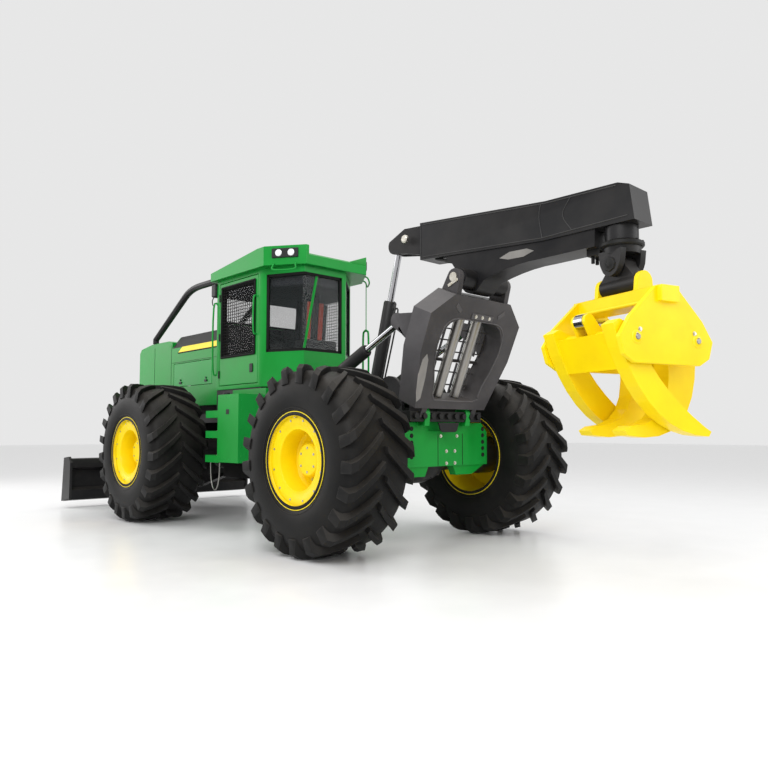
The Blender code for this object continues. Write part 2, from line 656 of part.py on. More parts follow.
def cab():
    shell = prism("cab_shell", cab_plan(0.0), "z", CAB_FLOOR, CAB_TOP)
    cut(shell, prism("cab_room", cab_plan(CAB_WALL), "z", CAB_FLOOR + 0.06, CAB_TOP + 0.1))
    plan = cab_plan(0.0)
    windows = (
        # wall's two corners, sill, head, posts at its start and end
        (1, 2, CAB_SILL, CAB_HEAD, 0.07, 0.0),
        (2, 3, CAB_SILL, CAB_HEAD, 0.0, 0.06),
        (3, 4, CAB_SILL, CAB_HEAD, 0.07, 0.07),
        (5, 0, 2.66, CAB_HEAD, 0.10, 0.10),
    )
    for first, second, sill, head, before, after in windows:
        cut(shell, wall_window("window", plan[first], plan[second], sill, head, before, after))
    strut_y = CAB_REAR_Y - 0.024
    join(shell, rod("strut", 0.017, (0.452, strut_y, CAB_SILL - 0.02), (0.246, strut_y, CAB_HEAD + 0.02), 8))
    cut(shell, box("door_hole", (-1.0, DOOR_FRONT_Y - RUN, DOOR_LOW - RUN),
                   (1.0, DOOR_REAR_Y + RUN, DOOR_HIGH + RUN)))
    place(shell, GREEN, "front_body")

    for side, sign in SIDES:
        axis = pivot(f"door_{side}_axis", at_point(sign * CAB_HALF, DOOR_FRONT_Y, 2.4), "front_body")
        low, high = sorted((sign * (CAB_HALF - CAB_WALL), sign * CAB_HALF))
        panel = box(f"door_{side}", (low, DOOR_FRONT_Y, DOOR_LOW), (high, DOOR_REAR_Y, DOOR_HIGH))
        cut(panel, box("door_window", (low - 0.1, DOOR_FRONT_Y + DOOR_FRAME, CAB_SILL),
                       (high + 0.1, DOOR_REAR_Y - DOOR_FRAME, DOOR_HIGH - DOOR_FRAME)))
        place(panel, GREEN, axis)

    outline = [(ROOF_HALF, ROOF_FRONT_Y + 0.10), (ROOF_HALF, ROOF_CORNER_Y), (ROOF_KINK, ROOF_REAR_Y),
               (-ROOF_KINK, ROOF_REAR_Y), (-ROOF_HALF, ROOF_CORNER_Y), (-ROOF_HALF, ROOF_FRONT_Y + 0.10),
               (-ROOF_HALF + 0.20, ROOF_FRONT_Y), (ROOF_HALF - 0.20, ROOF_FRONT_Y)]
    roof = prism("cab_roof", outline, "z", CAB_TOP + GAP, ROOF_TOP)
    peak = CAB_FRONT_Y + 1.10
    cut(roof, prism("slope", [(ROOF_FRONT_Y - 0.3, ROOF_FRONT_TOP - 0.032), (peak, ROOF_TOP),
                              (peak, ROOF_TOP + 0.3), (ROOF_FRONT_Y - 0.3, ROOF_TOP + 0.3)], "x", -1.0, 1.0))
    cut(roof, prism("rear_slope", [(ROOF_REAR_Y - 0.34, ROOF_TOP), (ROOF_REAR_Y - 0.16, ROOF_REAR_TOP),
                                   (ROOF_REAR_Y + 0.1, ROOF_REAR_TOP - 0.01), (ROOF_REAR_Y + 0.1, ROOF_TOP + 0.3),
                                   (ROOF_REAR_Y - 0.34, ROOF_TOP + 0.3)], "x", -ROOF_KINK, ROOF_KINK - 0.04))
    place(roof, GREEN, "front_body")

    seat_y = CAB_FRONT_Y + 0.82
    floor = CAB_FLOOR + 0.06 + GAP
    profile = [(seat_y - 0.10, floor), (seat_y + 0.10, floor), (seat_y + 0.10, 2.06), (seat_y + 0.20, 2.06),
               (seat_y + 0.34, 2.16), (seat_y + 0.42, 2.92), (seat_y + 0.32, 2.94), (seat_y + 0.21, 2.25),
               (seat_y - 0.28, 2.22), (seat_y - 0.30, 2.10), (seat_y - 0.10, 2.06)]
    place(prism("seat", profile, "x", -0.24, 0.24), CLOTH, "front_body")
    dash = [(CAB_FRONT_Y + CAB_WALL + GAP, floor), (CAB_FRONT_Y + 0.24, floor), (CAB_FRONT_Y + 0.24, 2.35),
            (CAB_FRONT_Y + 0.12, 2.50), (CAB_FRONT_Y + CAB_WALL + GAP, 2.50)]
    place(prism("console", dash, "x", -0.22, 0.22), BLACK, "front_body")

    for side, sign in SIDES:
        foot = (sign * RISER_X, RISER_FOOT_Y, COOLER_TOP + GAP)
        shoulder = (sign * RISER_X, FRONT_AXLE - 0.21, 3.29)
        top = (sign * RISER_X, ROOF_FRONT_Y - GAP, 3.29)
        ankle = (foot[0], foot[1], foot[2] + 0.07)
        neck = Vector(ankle).lerp(Vector(shoulder), 0.85)
        after = Vector(shoulder).lerp(Vector(top), 0.35)
        points = [foot, ankle] + bend(neck, shoulder, after, 5) + [tuple(after), top]
        place(tube(f"limb_riser_{side}", points, RISER_RADIUS), BLACK, "front_body")


# ---------------------------------------------------------------- blade

def blade():
    edge = FRONT_AXLE - BLADE_AHEAD
    back = edge + 0.32
    middle = (edge + 0.20, (BLADE_LOW + BLADE_HIGH) / 2)
    front_face = bend((edge, BLADE_LOW), middle, (edge + 0.07, BLADE_HIGH), 6) + [(edge + 0.07, BLADE_HIGH)]
    outline = front_face + [(back - 0.02, BLADE_HIGH), (back, BLADE_HIGH - 0.14), (back - 0.12, BLADE_HIGH - 0.18),
                            (back - 0.12, BLADE_LOW + 0.22), (back, BLADE_LOW + 0.18), (back - 0.03, BLADE_LOW + 0.03),
                            (edge + 0.06, BLADE_LOW)]
    plate = prism("blade", outline[::-1], "x", -BLADE_HALF + 0.02, BLADE_HALF - 0.02)
    cheek = [(edge - 0.01, BLADE_LOW - 0.004), (back + 0.01, BLADE_LOW + 0.06), (back + 0.02, BLADE_HIGH - 0.06),
             (back - 0.06, BLADE_HIGH + 0.03), (edge + 0.06, BLADE_HIGH + 0.01)]
    pivot_y, pivot_z = BLADE_PIVOT
    for sign in (1, -1):
        low, high = sorted((sign * (BLADE_HALF - 0.04), sign * BLADE_HALF))
        join(plate, prism("cheek", cheek, "x", low, high))
        arm = arc(BLADE_PIVOT, 0.11, -80, 100, 8)
        arm += [(back - 0.14, 0.60), (back - 0.14, 0.22), (back + 0.10, 0.22), (pivot_y - 0.40, 0.50)]
        low, high = sorted((sign * ARM_INNER, sign * ARM_OUTER))
        join(plate, prism("arm", arm, "x", low, high))
        eye, half = CYLINDERS["blade_cylinder"][1], CYLINDERS["blade_cylinder"][6]
        low, high = sorted((sign * (eye[0] + half + PIN_RUN), sign * (ARM_INNER + 0.03)))
        join(plate, rod("rod_boss", 0.04, (low, *eye[1:]), (high, *eye[1:])))
    place(plate, BLACK, "blade_pivot")


# ---------------------------------------------------------------- rear frame and winch

def rear_frame():
    front = STEER_Y + REAR_FRAME_FRONT
    rear = REAR_PLATE_Y - 0.02
    saddle_front, saddle_rear = REAR_AXLE - SADDLE_HALF, REAR_AXLE + SADDLE_HALF
    outline = [(front, FRAME_BOTTOM + 0.06), (saddle_front, FRAME_BOTTOM + 0.06), (saddle_front, SADDLE_TOP),
               (saddle_rear, SADDLE_TOP), (saddle_rear, REAR_PLATE_LOW), (rear, REAR_PLATE_LOW),
               (rear, REAR_FRAME_TOP), (front, REAR_FRAME_TOP)]
    frame = prism("rear_frame", outline, "x", -FRAME_HALF, FRAME_HALF)
    low, high = STEER_PLATES[0][1] + RUN, STEER_PLATES[1][0] - RUN
    knuckle = [(-0.13, front + 0.05)] + arc((0.0, STEER_Y), 0.13, 180, 360) + [(0.13, front + 0.05)]
    join(frame, prism("knuckle", knuckle, "z", low, high))
    cut(frame, rod("steering_bore", STEER_PIN + 0.005, (0.0, STEER_Y, 0.3), (0.0, STEER_Y, 1.6)))

    plate = [(-REAR_PLATE_HALF, REAR_PLATE_LOW), (REAR_PLATE_HALF, REAR_PLATE_LOW),
             (REAR_PLATE_HALF, REAR_PLATE_HIGH - 0.10), (REAR_PLATE_HALF - 0.10, REAR_PLATE_HIGH),
             (0.24, REAR_PLATE_HIGH), (0.20, 1.20), (-0.20, 1.20), (-0.24, REAR_PLATE_HIGH),
             (0.10 - REAR_PLATE_HALF, REAR_PLATE_HIGH), (-REAR_PLATE_HALF, REAR_PLATE_HIGH - 0.10)]
    join(frame, prism("plate", plate, "y", REAR_PLATE_Y - 0.04, REAR_PLATE_Y))
    for sign in (1, -1):
        lip = [(sign * REAR_PLATE_HALF, REAR_PLATE_LOW + 0.02), (sign * 0.18, REAR_PLATE_LOW + 0.02),
               (sign * 0.24, REAR_PLATE_LOW - 0.10), (sign * 0.50, REAR_PLATE_LOW - 0.10)]
        join(frame, prism("lip", lip[::sign], "y", REAR_PLATE_Y - 0.10, REAR_PLATE_Y - 0.012))

    deck_low, deck_high = REAR_FRAME_TOP - 0.06, REAR_FRAME_TOP + 0.012
    join(frame, box("deck", (-0.60, STEER_Y + 0.66, deck_low), (0.60, REAR_AXLE - 0.50, deck_high)))
    for name in ("arch_cylinder", "boom_cylinder"):
        eye, half = CYLINDERS[name][0], CYLINDERS[name][6]
        radius = EYE_RADIUS[name] + 0.01
        foot = [(eye[1] - 0.10, deck_high - 0.02), (eye[1] + 0.16, deck_high - 0.02)]
        for sign in ((1, -1) if eye[0] else (1,)):
            at = (sign * eye[0], eye[1], eye[2])
            join(frame, *eye_lugs(name, at, "x", half, radius, foot[::-1]))
    cylinder = CYLINDERS["steering_cylinder"]
    eye, half = cylinder[1], cylinder[6]
    for sign in (1, -1):
        outer = eye[0] + 0.06
        plan = [(FRAME_HALF - 0.10, front + 0.10), (FRAME_HALF - 0.10, front + 0.20), (FRAME_HALF + 0.02, front + 0.20),
                (outer, front), (outer, eye[1] - 0.07), (eye[0] - 0.06, eye[1] - 0.07)]
        plan = [(sign * x, y) for x, y in plan][::-sign]
        for low in (eye[2] + half + PIN_RUN, eye[2] - half - PIN_RUN - LUG_PLATE):
            join(frame, prism("steering_lug", plan, "z", low, low + LUG_PLATE))
        foot_outer = ARCH_FOOT_HALF - ARCH_LUG_THICKNESS - PIN_RUN
        foot_inner = foot_outer - ARCH_LUG_THICKNESS
        lug = [(ARCH_PIVOT[0] + 0.07, REAR_FRAME_TOP - 0.05)] + arc(ARCH_PIVOT, 0.085, 0, 150)
        lug += [(ARCH_PIVOT[0] - 0.45, REAR_FRAME_TOP - 0.03)]
        low, high = sorted((sign * foot_inner, sign * foot_outer))
        join(frame, prism("arch_lug", lug, "x", low, high))
    place(frame, GREEN, "steering_pivot")


def winch():
    middle_y = REAR_AXLE - 0.16
    base = REAR_FRAME_TOP + GAP
    height = base + 0.30
    frame = box("winch_frame", (-0.24, middle_y - 0.22, base), (0.24, middle_y + 0.22, base + 0.05))
    for sign in (1, -1):
        low, high = sorted((sign * 0.20, sign * 0.24))
        cheek = [(middle_y + 0.22, base + 0.02)] + arc((middle_y, height), 0.20, 0, 180, 10)
        cheek += [(middle_y - 0.22, base + 0.02)]
        join(frame, prism("cheek", cheek, "x", low, high))
    place(frame, BLACK, "steering_pivot")
    axis = pivot("winch_axis", at_point(0.0, middle_y, height), "steering_pivot")
    reach = 0.20 - RUN
    profile = [(0.0, reach), (0.17, reach), (0.17, reach - 0.03), (0.12, reach - 0.04), (0.12, 0.04 - reach),
               (0.17, 0.03 - reach), (0.17, -reach), (0.0, -reach)]
    place(turned("winch_drum", profile, (0.0, middle_y, height), (1, 0, 0)), STEEL, axis)


# ---------------------------------------------------------------- arch

def arch():
    sides = ((0.536, 0.095), (0.68, 0.66), (0.69, 1.06), (0.43, 1.28))
    outline = [(x, z) for x, z in sides] + [(-x, z) for x, z in reversed(sides)]
    body = prism("arch", outline, "y", ARCH_FACE_FRONT, ARCH_FACE_BACK)
    hole = bend((0.30, 0.19), (0.35, 0.20), (0.37, 0.36), 3) + bend((0.37, 0.36), (0.46, 0.60), (0.48, 0.74), 2)
    hole += bend((0.48, 0.74), (0.47, 1.03), (0.22, 1.05), 5) + [(0.22, 1.05)]
    hole += [(-x, z) for x, z in reversed(hole)]
    cut(body, prism("opening", hole, "y", ARCH_FACE_FRONT - 0.1, ARCH_FACE_BACK + 0.1))
    join(body, box("bar", (-0.52, ARCH_FACE_FRONT + 0.002, 0.545), (0.52, ARCH_FACE_FRONT + 0.035, 0.575)))

    boom_pin = ARCH_FRAME.inverted() @ Vector((0.0, *BOOM_PIVOT))
    rod_pin = ARCH_FRAME.inverted() @ Vector(CYLINDERS["arch_cylinder"][1])
    half = CYLINDERS["arch_cylinder"][6]
    for sign in (1, -1):
        low, high = sorted((sign * (ARCH_FOOT_HALF - ARCH_LUG_THICKNESS), sign * ARCH_FOOT_HALF))
        foot = [(0.08, 0.12)] + [(-0.14, 0.12)] + arc((0.0, 0.0), 0.075, 195, 360)
        join(body, prism("foot", foot, "x", low, high))
        low, high = sorted((sign * 0.335, sign * 0.40))
        top = [(0.08, 1.20)] + arc((boom_pin.y, boom_pin.z), 0.085, 0, 180) + [(-0.155, 1.20)]
        join(body, prism("boom_lug", top, "x", low, high))
        for near in (rod_pin.x - half - PIN_RUN - LUG_PLATE, rod_pin.x + half + PIN_RUN):
            low, high = sorted((sign * near, sign * (near + LUG_PLATE)))
            lug = [(ARCH_FACE_FRONT + 0.03, 0.62)] + [(ARCH_FACE_FRONT + 0.03, 1.02)]
            lug += arc((rod_pin.y, rod_pin.z), 0.08, 80, 265)
            lug += bend((rod_pin.y + 0.03, rod_pin.z - 0.09), (-0.22, 0.74), (ARCH_FACE_FRONT + 0.03, 0.62), 4)[1:]
            join(body, prism("cylinder_lug", lug, "x", low, high))
    place(body, BLACK, "arch_pivot", ARCH_FRAME)

    for side, sign in SIDES:
        x = sign * ROLLER_X
        axis = pivot(f"roller_{side}_axis", ARCH_FRAME @ at_point(x, -0.04, 0.6), "arch_pivot")
        roller = rod(f"fairlead_roller_{side}", ROLLER_RADIUS, (x, -0.04, 0.19 + RUN), (x, -0.04, 1.05 - RUN))
        place(roller, STEEL, axis, ARCH_FRAME)


# ---------------------------------------------------------------- boom and rotator

def boom():
    y = REAR_AXLE
    pivot_y, pivot_z = BOOM_PIVOT
    beam = [(y + 0.245, 3.03), (y + 1.80, 2.93), (y + 2.70, BOOM_UNDERSIDE), (y + 2.66, 3.24), (y + 2.555, 3.277),
            (y + 1.84, 3.29), (y + 0.245, 3.433)]
    body = prism("boom", beam, "x", -BOOM_HALF, BOOM_HALF)
    rib = bend((y + 0.50, 3.04), (y + 0.72, 2.96), (pivot_y - 0.13, pivot_z), 4)
    rib += arc(BOOM_PIVOT, 0.13, 180, 320)
    rib += bend((pivot_y + 0.16, pivot_z - 0.02), (y + 1.45, 2.78), (y + 1.75, 2.77), 5)
    rib += [(y + 1.75, 2.77), (y + 2.32, 2.78), (y + 2.33, 2.96), (y + 1.80, 3.05)]
    join(body, prism("rib", rib, "x", -BOOM_HALF + 0.015, BOOM_HALF - 0.015))
    join(body, rod("pivot_tube", 0.10, (-0.334, *BOOM_PIVOT), (0.334, *BOOM_PIVOT)))
    tail_y, tail_z = BOOM_TAIL
    tail = [(y + 0.40, 3.412), (y - 0.06, 3.445)] + arc(BOOM_TAIL, 0.10, 150, 270, 6)
    tail += [(tail_y + 0.20, tail_z - 0.13), (y + 0.40, 3.06)]
    for sign in (1, -1):
        low, high = sorted((sign * BOOM_TAIL_GAP, sign * (BOOM_TAIL_GAP + BOOM_TAIL_PLATE)))
        join(body, prism("tail_plate", tail, "x", low, high))
    place(body, BLACK, "boom_pivot")

    housing = rod("rotator", ROTATOR_RADIUS, (0.0, ROTATOR_Y, ROTATOR_LOW + RUN),
                  (0.0, ROTATOR_Y, BOOM_UNDERSIDE - 0.003), ROUND)
    place(housing, BLACK, "boom_pivot")


# ---------------------------------------------------------------- grapple

def grapple_joint():
    """The turning yoke under the rotator, and the cross-shaped link that lets the grapple swing."""
    yoke = turned("rotator_yoke", [(0.0, ROTATOR_LOW), (0.15, ROTATOR_LOW), (0.165, ROTATOR_LOW - 0.04),
                                   (0.15, YOKE_LOW), (0.0, YOKE_LOW)], (0.0, 0.0, 0.0), (0, 0, 1))
    for sign in (1, -1):
        low, high = sorted((sign * 0.086, sign * 0.145))
        ear = [(0.13, YOKE_LOW + 0.03), (-0.13, YOKE_LOW + 0.03), (-0.115, PITCH_Z + 0.01)]
        ear += arc((0.0, PITCH_Z), 0.10, 200, 340) + [(0.115, PITCH_Z + 0.01)]
        join(yoke, prism("ear", ear, "x", low, high))
    place(yoke, BLACK, "rotator_pivot", GRAPPLE_FRAME)

    link = rod("crosshead", 0.075, (-0.085, 0.0, PITCH_Z), (0.085, 0.0, PITCH_Z))
    stem = [(-0.10, PITCH_Z - 0.02), (-0.075, PITCH_Z + 0.03), (0.075, PITCH_Z + 0.03), (0.10, PITCH_Z - 0.02),
            (0.185, ROLL_Z + 0.05), (0.185, ROLL_Z - 0.02), (-0.185, ROLL_Z - 0.02), (-0.185, ROLL_Z + 0.05)]
    join(link, prism("stem", stem[::-1], "x", -0.070, 0.070))
    join(link, rod("lower_barrel", 0.08, (0.0, -0.20, ROLL_Z), (0.0, 0.20, ROLL_Z)))
    place(link, BLACK, "pitch_pivot", GRAPPLE_FRAME)


def grapple_head():
    head = box("grapple_head", (-0.10, -HEAD_LENGTH_HALF, HEAD_TOP - 0.13), (0.10, HEAD_LENGTH_HALF, HEAD_TOP))
    half_plate = [(0.115, HEAD_TOP - 0.005), (0.40, 2.08), (0.515, 1.92), (0.47, 1.78), (0.36, 1.72)]
    outline = half_plate + [(-x, z) for x, z in reversed(half_plate)]
    for sign in (1, -1):
        low, high = sorted((sign * HUB_PLATE_INNER, sign * (HUB_PLATE_INNER + HUB_PLATE)))
        join(head, prism("hub_plate", outline, "y", low, high))
        low, high = sorted((sign * 0.201, sign * 0.245))
        lug = [(-0.095, HEAD_TOP - 0.02), (0.095, HEAD_TOP - 0.02)] + arc((0.0, ROLL_Z), 0.085, 0, 180)
        join(head, prism("lug", lug, "y", low, high))
    place(head, YELLOW, "roll_pivot", GRAPPLE_FRAME)


TONGS = {
    # side: (sign, inner and outer face of an arm, knee of the back, knee of the inside, tip)
    "left": (1, 0.28, TONG_LENGTH_HALF, (0.22, 1.16), (0.02, 1.50), (-0.50, 1.15)),
    "right": (-1, 0.12, 0.27, (0.62, 1.02), (0.28, 1.24), (-0.25, 1.16)),
}


def tong(side):
    """Two curved arms on one barrel, with two ears for the cylinder. Points are for the left tong."""
    sign, inner, outer, back_knee, inside_knee, tip = TONGS[side]
    pin_x, pin_z = TONG_PIN
    arm = [(0.46, 2.06)] + bend((0.53, 2.02), back_knee, tip, 9)
    arm += [tip, (tip[0] - 0.03, tip[1] + 0.04)]
    arm += bend((tip[0] + 0.04, tip[1] + 0.075), inside_knee, (pin_x - 0.13, pin_z - 0.10), 6)
    arm += [(pin_x - 0.13, pin_z - 0.10), (pin_x - 0.10, pin_z + 0.06)]
    arm = [(sign * x, z) for x, z in arm][::sign]
    body = rod(f"tong_{side}", TONG_BARREL, (sign * pin_x, -TONG_LENGTH_HALF, pin_z),
               (sign * pin_x, TONG_LENGTH_HALF, pin_z))
    for end in (1, -1):
        low, high = sorted((end * inner, end * (outer - 0.002)))
        join(body, prism("arm", arm, "y", low, high))
        near = CYLINDERS["grapple_cylinder"][6] + PIN_RUN
        low, high = sorted((end * near, end * (near + LUG_PLATE)))
        ear_x, ear_z = TONG_EAR
        heading = math.degrees(math.atan2(ear_z - pin_z, ear_x - pin_x))
        ear = arc((ear_x, ear_z), 0.055, heading - 90, heading + 90)
        ear += arc((pin_x, pin_z), 0.078, heading + 90, heading + 270)
        ear = [(sign * x, z) for x, z in ear][::sign]
        join(body, prism("ear", ear, "y", low, high))
    span = outer - 0.01
    slab = [(0.49, 1.96), (0.37, 1.68), (0.30, 1.70), (0.42, 1.96)]
    if side == "right":
        slab = [(0.505, 1.86), (0.49, 1.62), (0.45, 1.62), (0.45, 1.86)]
    slab = [(sign * x, z) for x, z in slab][::-sign]
    join(body, prism("back_plate", slab, "y", -span, span))
    axis = pivot(f"tong_{side}_axis", GRAPPLE_FRAME @ at_point(sign * pin_x, 0.0, pin_z), "roll_pivot")
    place(body, YELLOW, axis, GRAPPLE_FRAME)


# ---------------------------------------------------------------- hydraulic cylinders

def eye(name, radius, at, axis, half):
    offset = Vector([half if axis == letter else 0.0 for letter in "xyz"])
    return rod(name, radius, tuple(Vector(at) - offset), tuple(Vector(at) + offset))


def cylinder(name, label, sign, axis, barrel_parent, frame=None):
    """A hollow barrel with an eye, hung on its own axis, and the rod that slides in it."""
    barrel_eye, rod_eye, bore, shaft, barrel_length, rod_length, half = CYLINDERS[name]
    start = Vector((sign * barrel_eye[0], *barrel_eye[1:]))
    end = Vector((sign * rod_eye[0], *rod_eye[1:]))
    line = (end - start).normalized()
    radius = EYE_RADIUS[name]
    neck = half - 0.005
    profile = [(0.0, radius + 0.06), (shaft + 0.002, radius + 0.06), (shaft + 0.002, barrel_length),
               (bore * 0.85, barrel_length), (bore, barrel_length - 0.02), (bore, radius + 0.035),
               (neck, radius + 0.025), (neck, radius * 0.4), (0.0, radius * 0.4)]
    barrel = turned(f"{name}_barrel{label}", profile, start, line, SMALL_ROUND)
    join(barrel, eye("eye", radius, start, axis, half))
    matrix = (frame or Matrix()) @ at_point(*start)
    hinge = pivot(f"{name}_axis{label}", matrix, barrel_parent)
    place(barrel, BLACK, hinge, frame)
    root = end - line * rod_length
    piston = rod(f"{name}_rod{label}", shaft, tuple(root), tuple(end - line * radius * 0.4))
    join(piston, eye("eye", radius, end, axis, half))
    place(piston, CHROME, hinge, frame)


axles()
front_frame()
steps()
hood()
cab()
blade()
rear_frame()
winch()
arch()
boom()
grapple_joint()
grapple_head()
for tong_side in TONGS:
    tong(tong_side)
for side_name, side_sign in SIDES:
    cylinder("steering_cylinder", f"_{side_name}", side_sign, "z", "front_body")
    cylinder("blade_cylinder", f"_{side_name}", side_sign, "x", "front_body")
    cylinder("arch_cylinder", f"_{side_name}", side_sign, "x", "steering_pivot")
cylinder("boom_cylinder", "", 1, "x", "steering_pivot")
cylinder("grapple_cylinder", "", 1, "y", "tong_right_axis", GRAPPLE_FRAME)
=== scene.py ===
"""The looks of the grapple skidder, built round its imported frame. Metres, +Z up, the machine faces -Y."""
import json
import math

import bmesh
import bpy
from mathutils import Matrix, Vector


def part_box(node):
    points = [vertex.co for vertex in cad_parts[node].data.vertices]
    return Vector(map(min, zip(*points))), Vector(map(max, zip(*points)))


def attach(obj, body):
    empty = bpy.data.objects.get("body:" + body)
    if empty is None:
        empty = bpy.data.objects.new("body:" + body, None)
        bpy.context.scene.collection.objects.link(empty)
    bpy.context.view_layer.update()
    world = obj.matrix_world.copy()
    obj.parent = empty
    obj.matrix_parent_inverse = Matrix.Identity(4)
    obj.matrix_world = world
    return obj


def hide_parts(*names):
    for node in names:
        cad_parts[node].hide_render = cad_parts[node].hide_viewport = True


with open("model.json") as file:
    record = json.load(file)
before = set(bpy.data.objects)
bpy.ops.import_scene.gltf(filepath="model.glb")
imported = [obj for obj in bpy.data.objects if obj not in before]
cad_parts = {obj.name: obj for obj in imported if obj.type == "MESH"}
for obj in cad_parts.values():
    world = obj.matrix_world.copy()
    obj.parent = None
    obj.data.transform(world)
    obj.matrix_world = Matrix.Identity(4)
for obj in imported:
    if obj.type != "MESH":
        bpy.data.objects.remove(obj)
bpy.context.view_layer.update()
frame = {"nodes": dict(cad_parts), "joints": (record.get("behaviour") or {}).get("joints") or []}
node = frame["nodes"]
joint = {j["name"]: j for j in frame["joints"]}
SIDES = (("left", 1), ("right", -1))
ENDS = ("front", "rear")


def middle(name):
    low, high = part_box(name)
    return Vector([(a + b) / 2 for a, b in zip(low, high)])


REAR_AXLE = middle("tyre_rear_left").y
FRONT_AXLE = middle("tyre_front_left").y

# ---------------------------------------------------------------- camera, lights and floor

camera = bpy.data.objects.new("camera", bpy.data.cameras.new("camera"))
bpy.context.scene.collection.objects.link(camera)
camera.location = (5.5535, REAR_AXLE + 5.5078, 1.1917)
camera.rotation_euler = (math.radians(93.827), 0.0, math.radians(137.216))
camera.data.lens = 33.32
camera.data.sensor_width = 36.0
camera.data.clip_end = 200.0
bpy.context.scene.camera = camera

LIGHTS = (
    # name, place, aim, size, power, warmth
    ("key", (7.5, 6.0, 8.0), (0.0, 0.0, 1.4), 6.0, 620.0, 1.00),
    ("rear_fill", (-5.0, 10.0, 5.5), (0.0, 1.5, 1.5), 6.0, 280.0, 1.00),
    ("front_fill", (5.0, -9.0, 5.0), (0.0, -1.5, 1.5), 6.0, 300.0, 0.98),
    ("top", (0.0, 0.0, 11.0), (0.0, 0.0, 0.0), 9.0, 420.0, 1.00),
)
for name, place, aim, size, power, warmth in LIGHTS:
    lamp = bpy.data.lights.new(name, "AREA")
    lamp.size = size
    lamp.energy = power
    lamp.color = (1.0, warmth, warmth)
    holder = bpy.data.objects.new(name, lamp)
    holder.location = place
    holder.rotation_euler = (Vector(aim) - Vector(place)).to_track_quat("-Z", "Y").to_euler()
    bpy.context.scene.collection.objects.link(holder)

world = bpy.data.worlds.new("studio")
bpy.context.scene.world = world
world.use_nodes = True
world.node_tree.nodes["Background"].inputs["Color"].default_value = (1.0, 1.0, 1.0, 1.0)
world.node_tree.nodes["Background"].inputs["Strength"].default_value = 0.80
bpy.context.scene.view_settings.view_transform = "Standard"


# ---------------------------------------------------------------- materials

def surface(name, colour, other, roughness, metallic=0.0, grain=18.0, bump=0.05, spread=0.12, dust=0.0,
            wear=None, coat=0.0, stretch=(1.0, 1.0, 1.0), specular=0.5):
    """A Principled material whose colour and roughness drift with noise, with a bump and, where asked for,
    dust that lies on faces that look up and a worn colour on edges."""
    material = bpy.data.materials.new(name)
    material.use_nodes = True
    tree = material.node_tree
    shader = tree.nodes["Principled BSDF"]

    def add(kind, **values):
        made = tree.nodes.new(kind)
        for key, value in values.items():
            if key in made.inputs:
                made.inputs[key].default_value = value
            else:
                setattr(made, key, value)
        return made

    def link(a, out, b, into):
        tree.links.new(a.outputs[out], b.inputs[into])

    place = add("ShaderNodeTexCoord")
    mapping = add("ShaderNodeMapping")
    mapping.inputs["Scale"].default_value = stretch
    link(place, "Object", mapping, "Vector")
    cloud = add("ShaderNodeTexNoise", Scale=grain * 0.12, Detail=6.0, Roughness=0.6)
    link(mapping, "Vector", cloud, "Vector")
    fine = add("ShaderNodeTexNoise", Scale=grain * 6.0, Detail=4.0, Roughness=0.55)
    link(mapping, "Vector", fine, "Vector")
    blend = add("ShaderNodeMix", data_type="RGBA")
    ramp = add("ShaderNodeMapRange")
    ramp.inputs["From Min"].default_value = 0.38
    ramp.inputs["From Max"].default_value = 0.68
    link(cloud, "Fac", ramp, "Value")
    blend.inputs[6].default_value = (*colour, 1.0)
    blend.inputs[7].default_value = (*other, 1.0)
    link(ramp, "Result", blend, 0)
    last = blend
    if wear:
        shape = add("ShaderNodeNewGeometry")
        edge = add("ShaderNodeMapRange")
        edge.inputs["From Min"].default_value = 0.53
        edge.inputs["From Max"].default_value = 0.60
        edge.inputs["To Max"].default_value = 0.55
        link(shape, "Pointiness", edge, "Value")
        worn = add("ShaderNodeMix", data_type="RGBA")
        worn.inputs[7].default_value = (*wear, 1.0)
        link(edge, "Result", worn, 0)
        link(last, 2, worn, 6)
        last = worn
    if dust:
        shape = add("ShaderNodeNewGeometry")
        split = add("ShaderNodeSeparateXYZ")
        link(shape, "Normal", split, "Vector")
        upward = add("ShaderNodeMath", operation="MULTIPLY", use_clamp=True)
        link(split, "Z", upward, 0)
        link(cloud, "Fac", upward, 1)
        amount = add("ShaderNodeMath", operation="MULTIPLY", use_clamp=True)
        amount.inputs[1].default_value = dust
        link(upward, 0, amount, 0)
        powder = add("ShaderNodeMix", data_type="RGBA")
        powder.inputs[7].default_value = (0.30, 0.26, 0.21, 1.0)
        link(amount, 0, powder, 0)
        link(last, 2, powder, 6)
        last = powder
    link(last, 2, shader, "Base Color")
    rough = add("ShaderNodeMapRange")
    rough.inputs["To Min"].default_value = max(0.03, roughness - spread)
    rough.inputs["To Max"].default_value = min(1.0, roughness + spread)
    link(cloud, "Fac", rough, "Value")
    link(rough, "Result", shader, "Roughness")
    relief = add("ShaderNodeBump", Strength=bump, Distance=0.002)
    link(fine, "Fac", relief, "Height")
    link(relief, "Normal", shader, "Normal")
    shader.inputs["Metallic"].default_value = metallic
    shader.inputs["Specular IOR Level"].default_value = specular
    shader.inputs["Coat Weight"].default_value = coat
    shader.inputs["Coat Roughness"].default_value = 0.12
    return material


def glass(name, colour, alpha):
    material = surface(name, colour, tuple(c * 0.9 for c in colour), 0.06, bump=0.01, spread=0.03)
    shader = material.node_tree.nodes["Principled BSDF"]
    shader.inputs["Alpha"].default_value = alpha
    shader.inputs["IOR"].default_value = 1.5
    return material


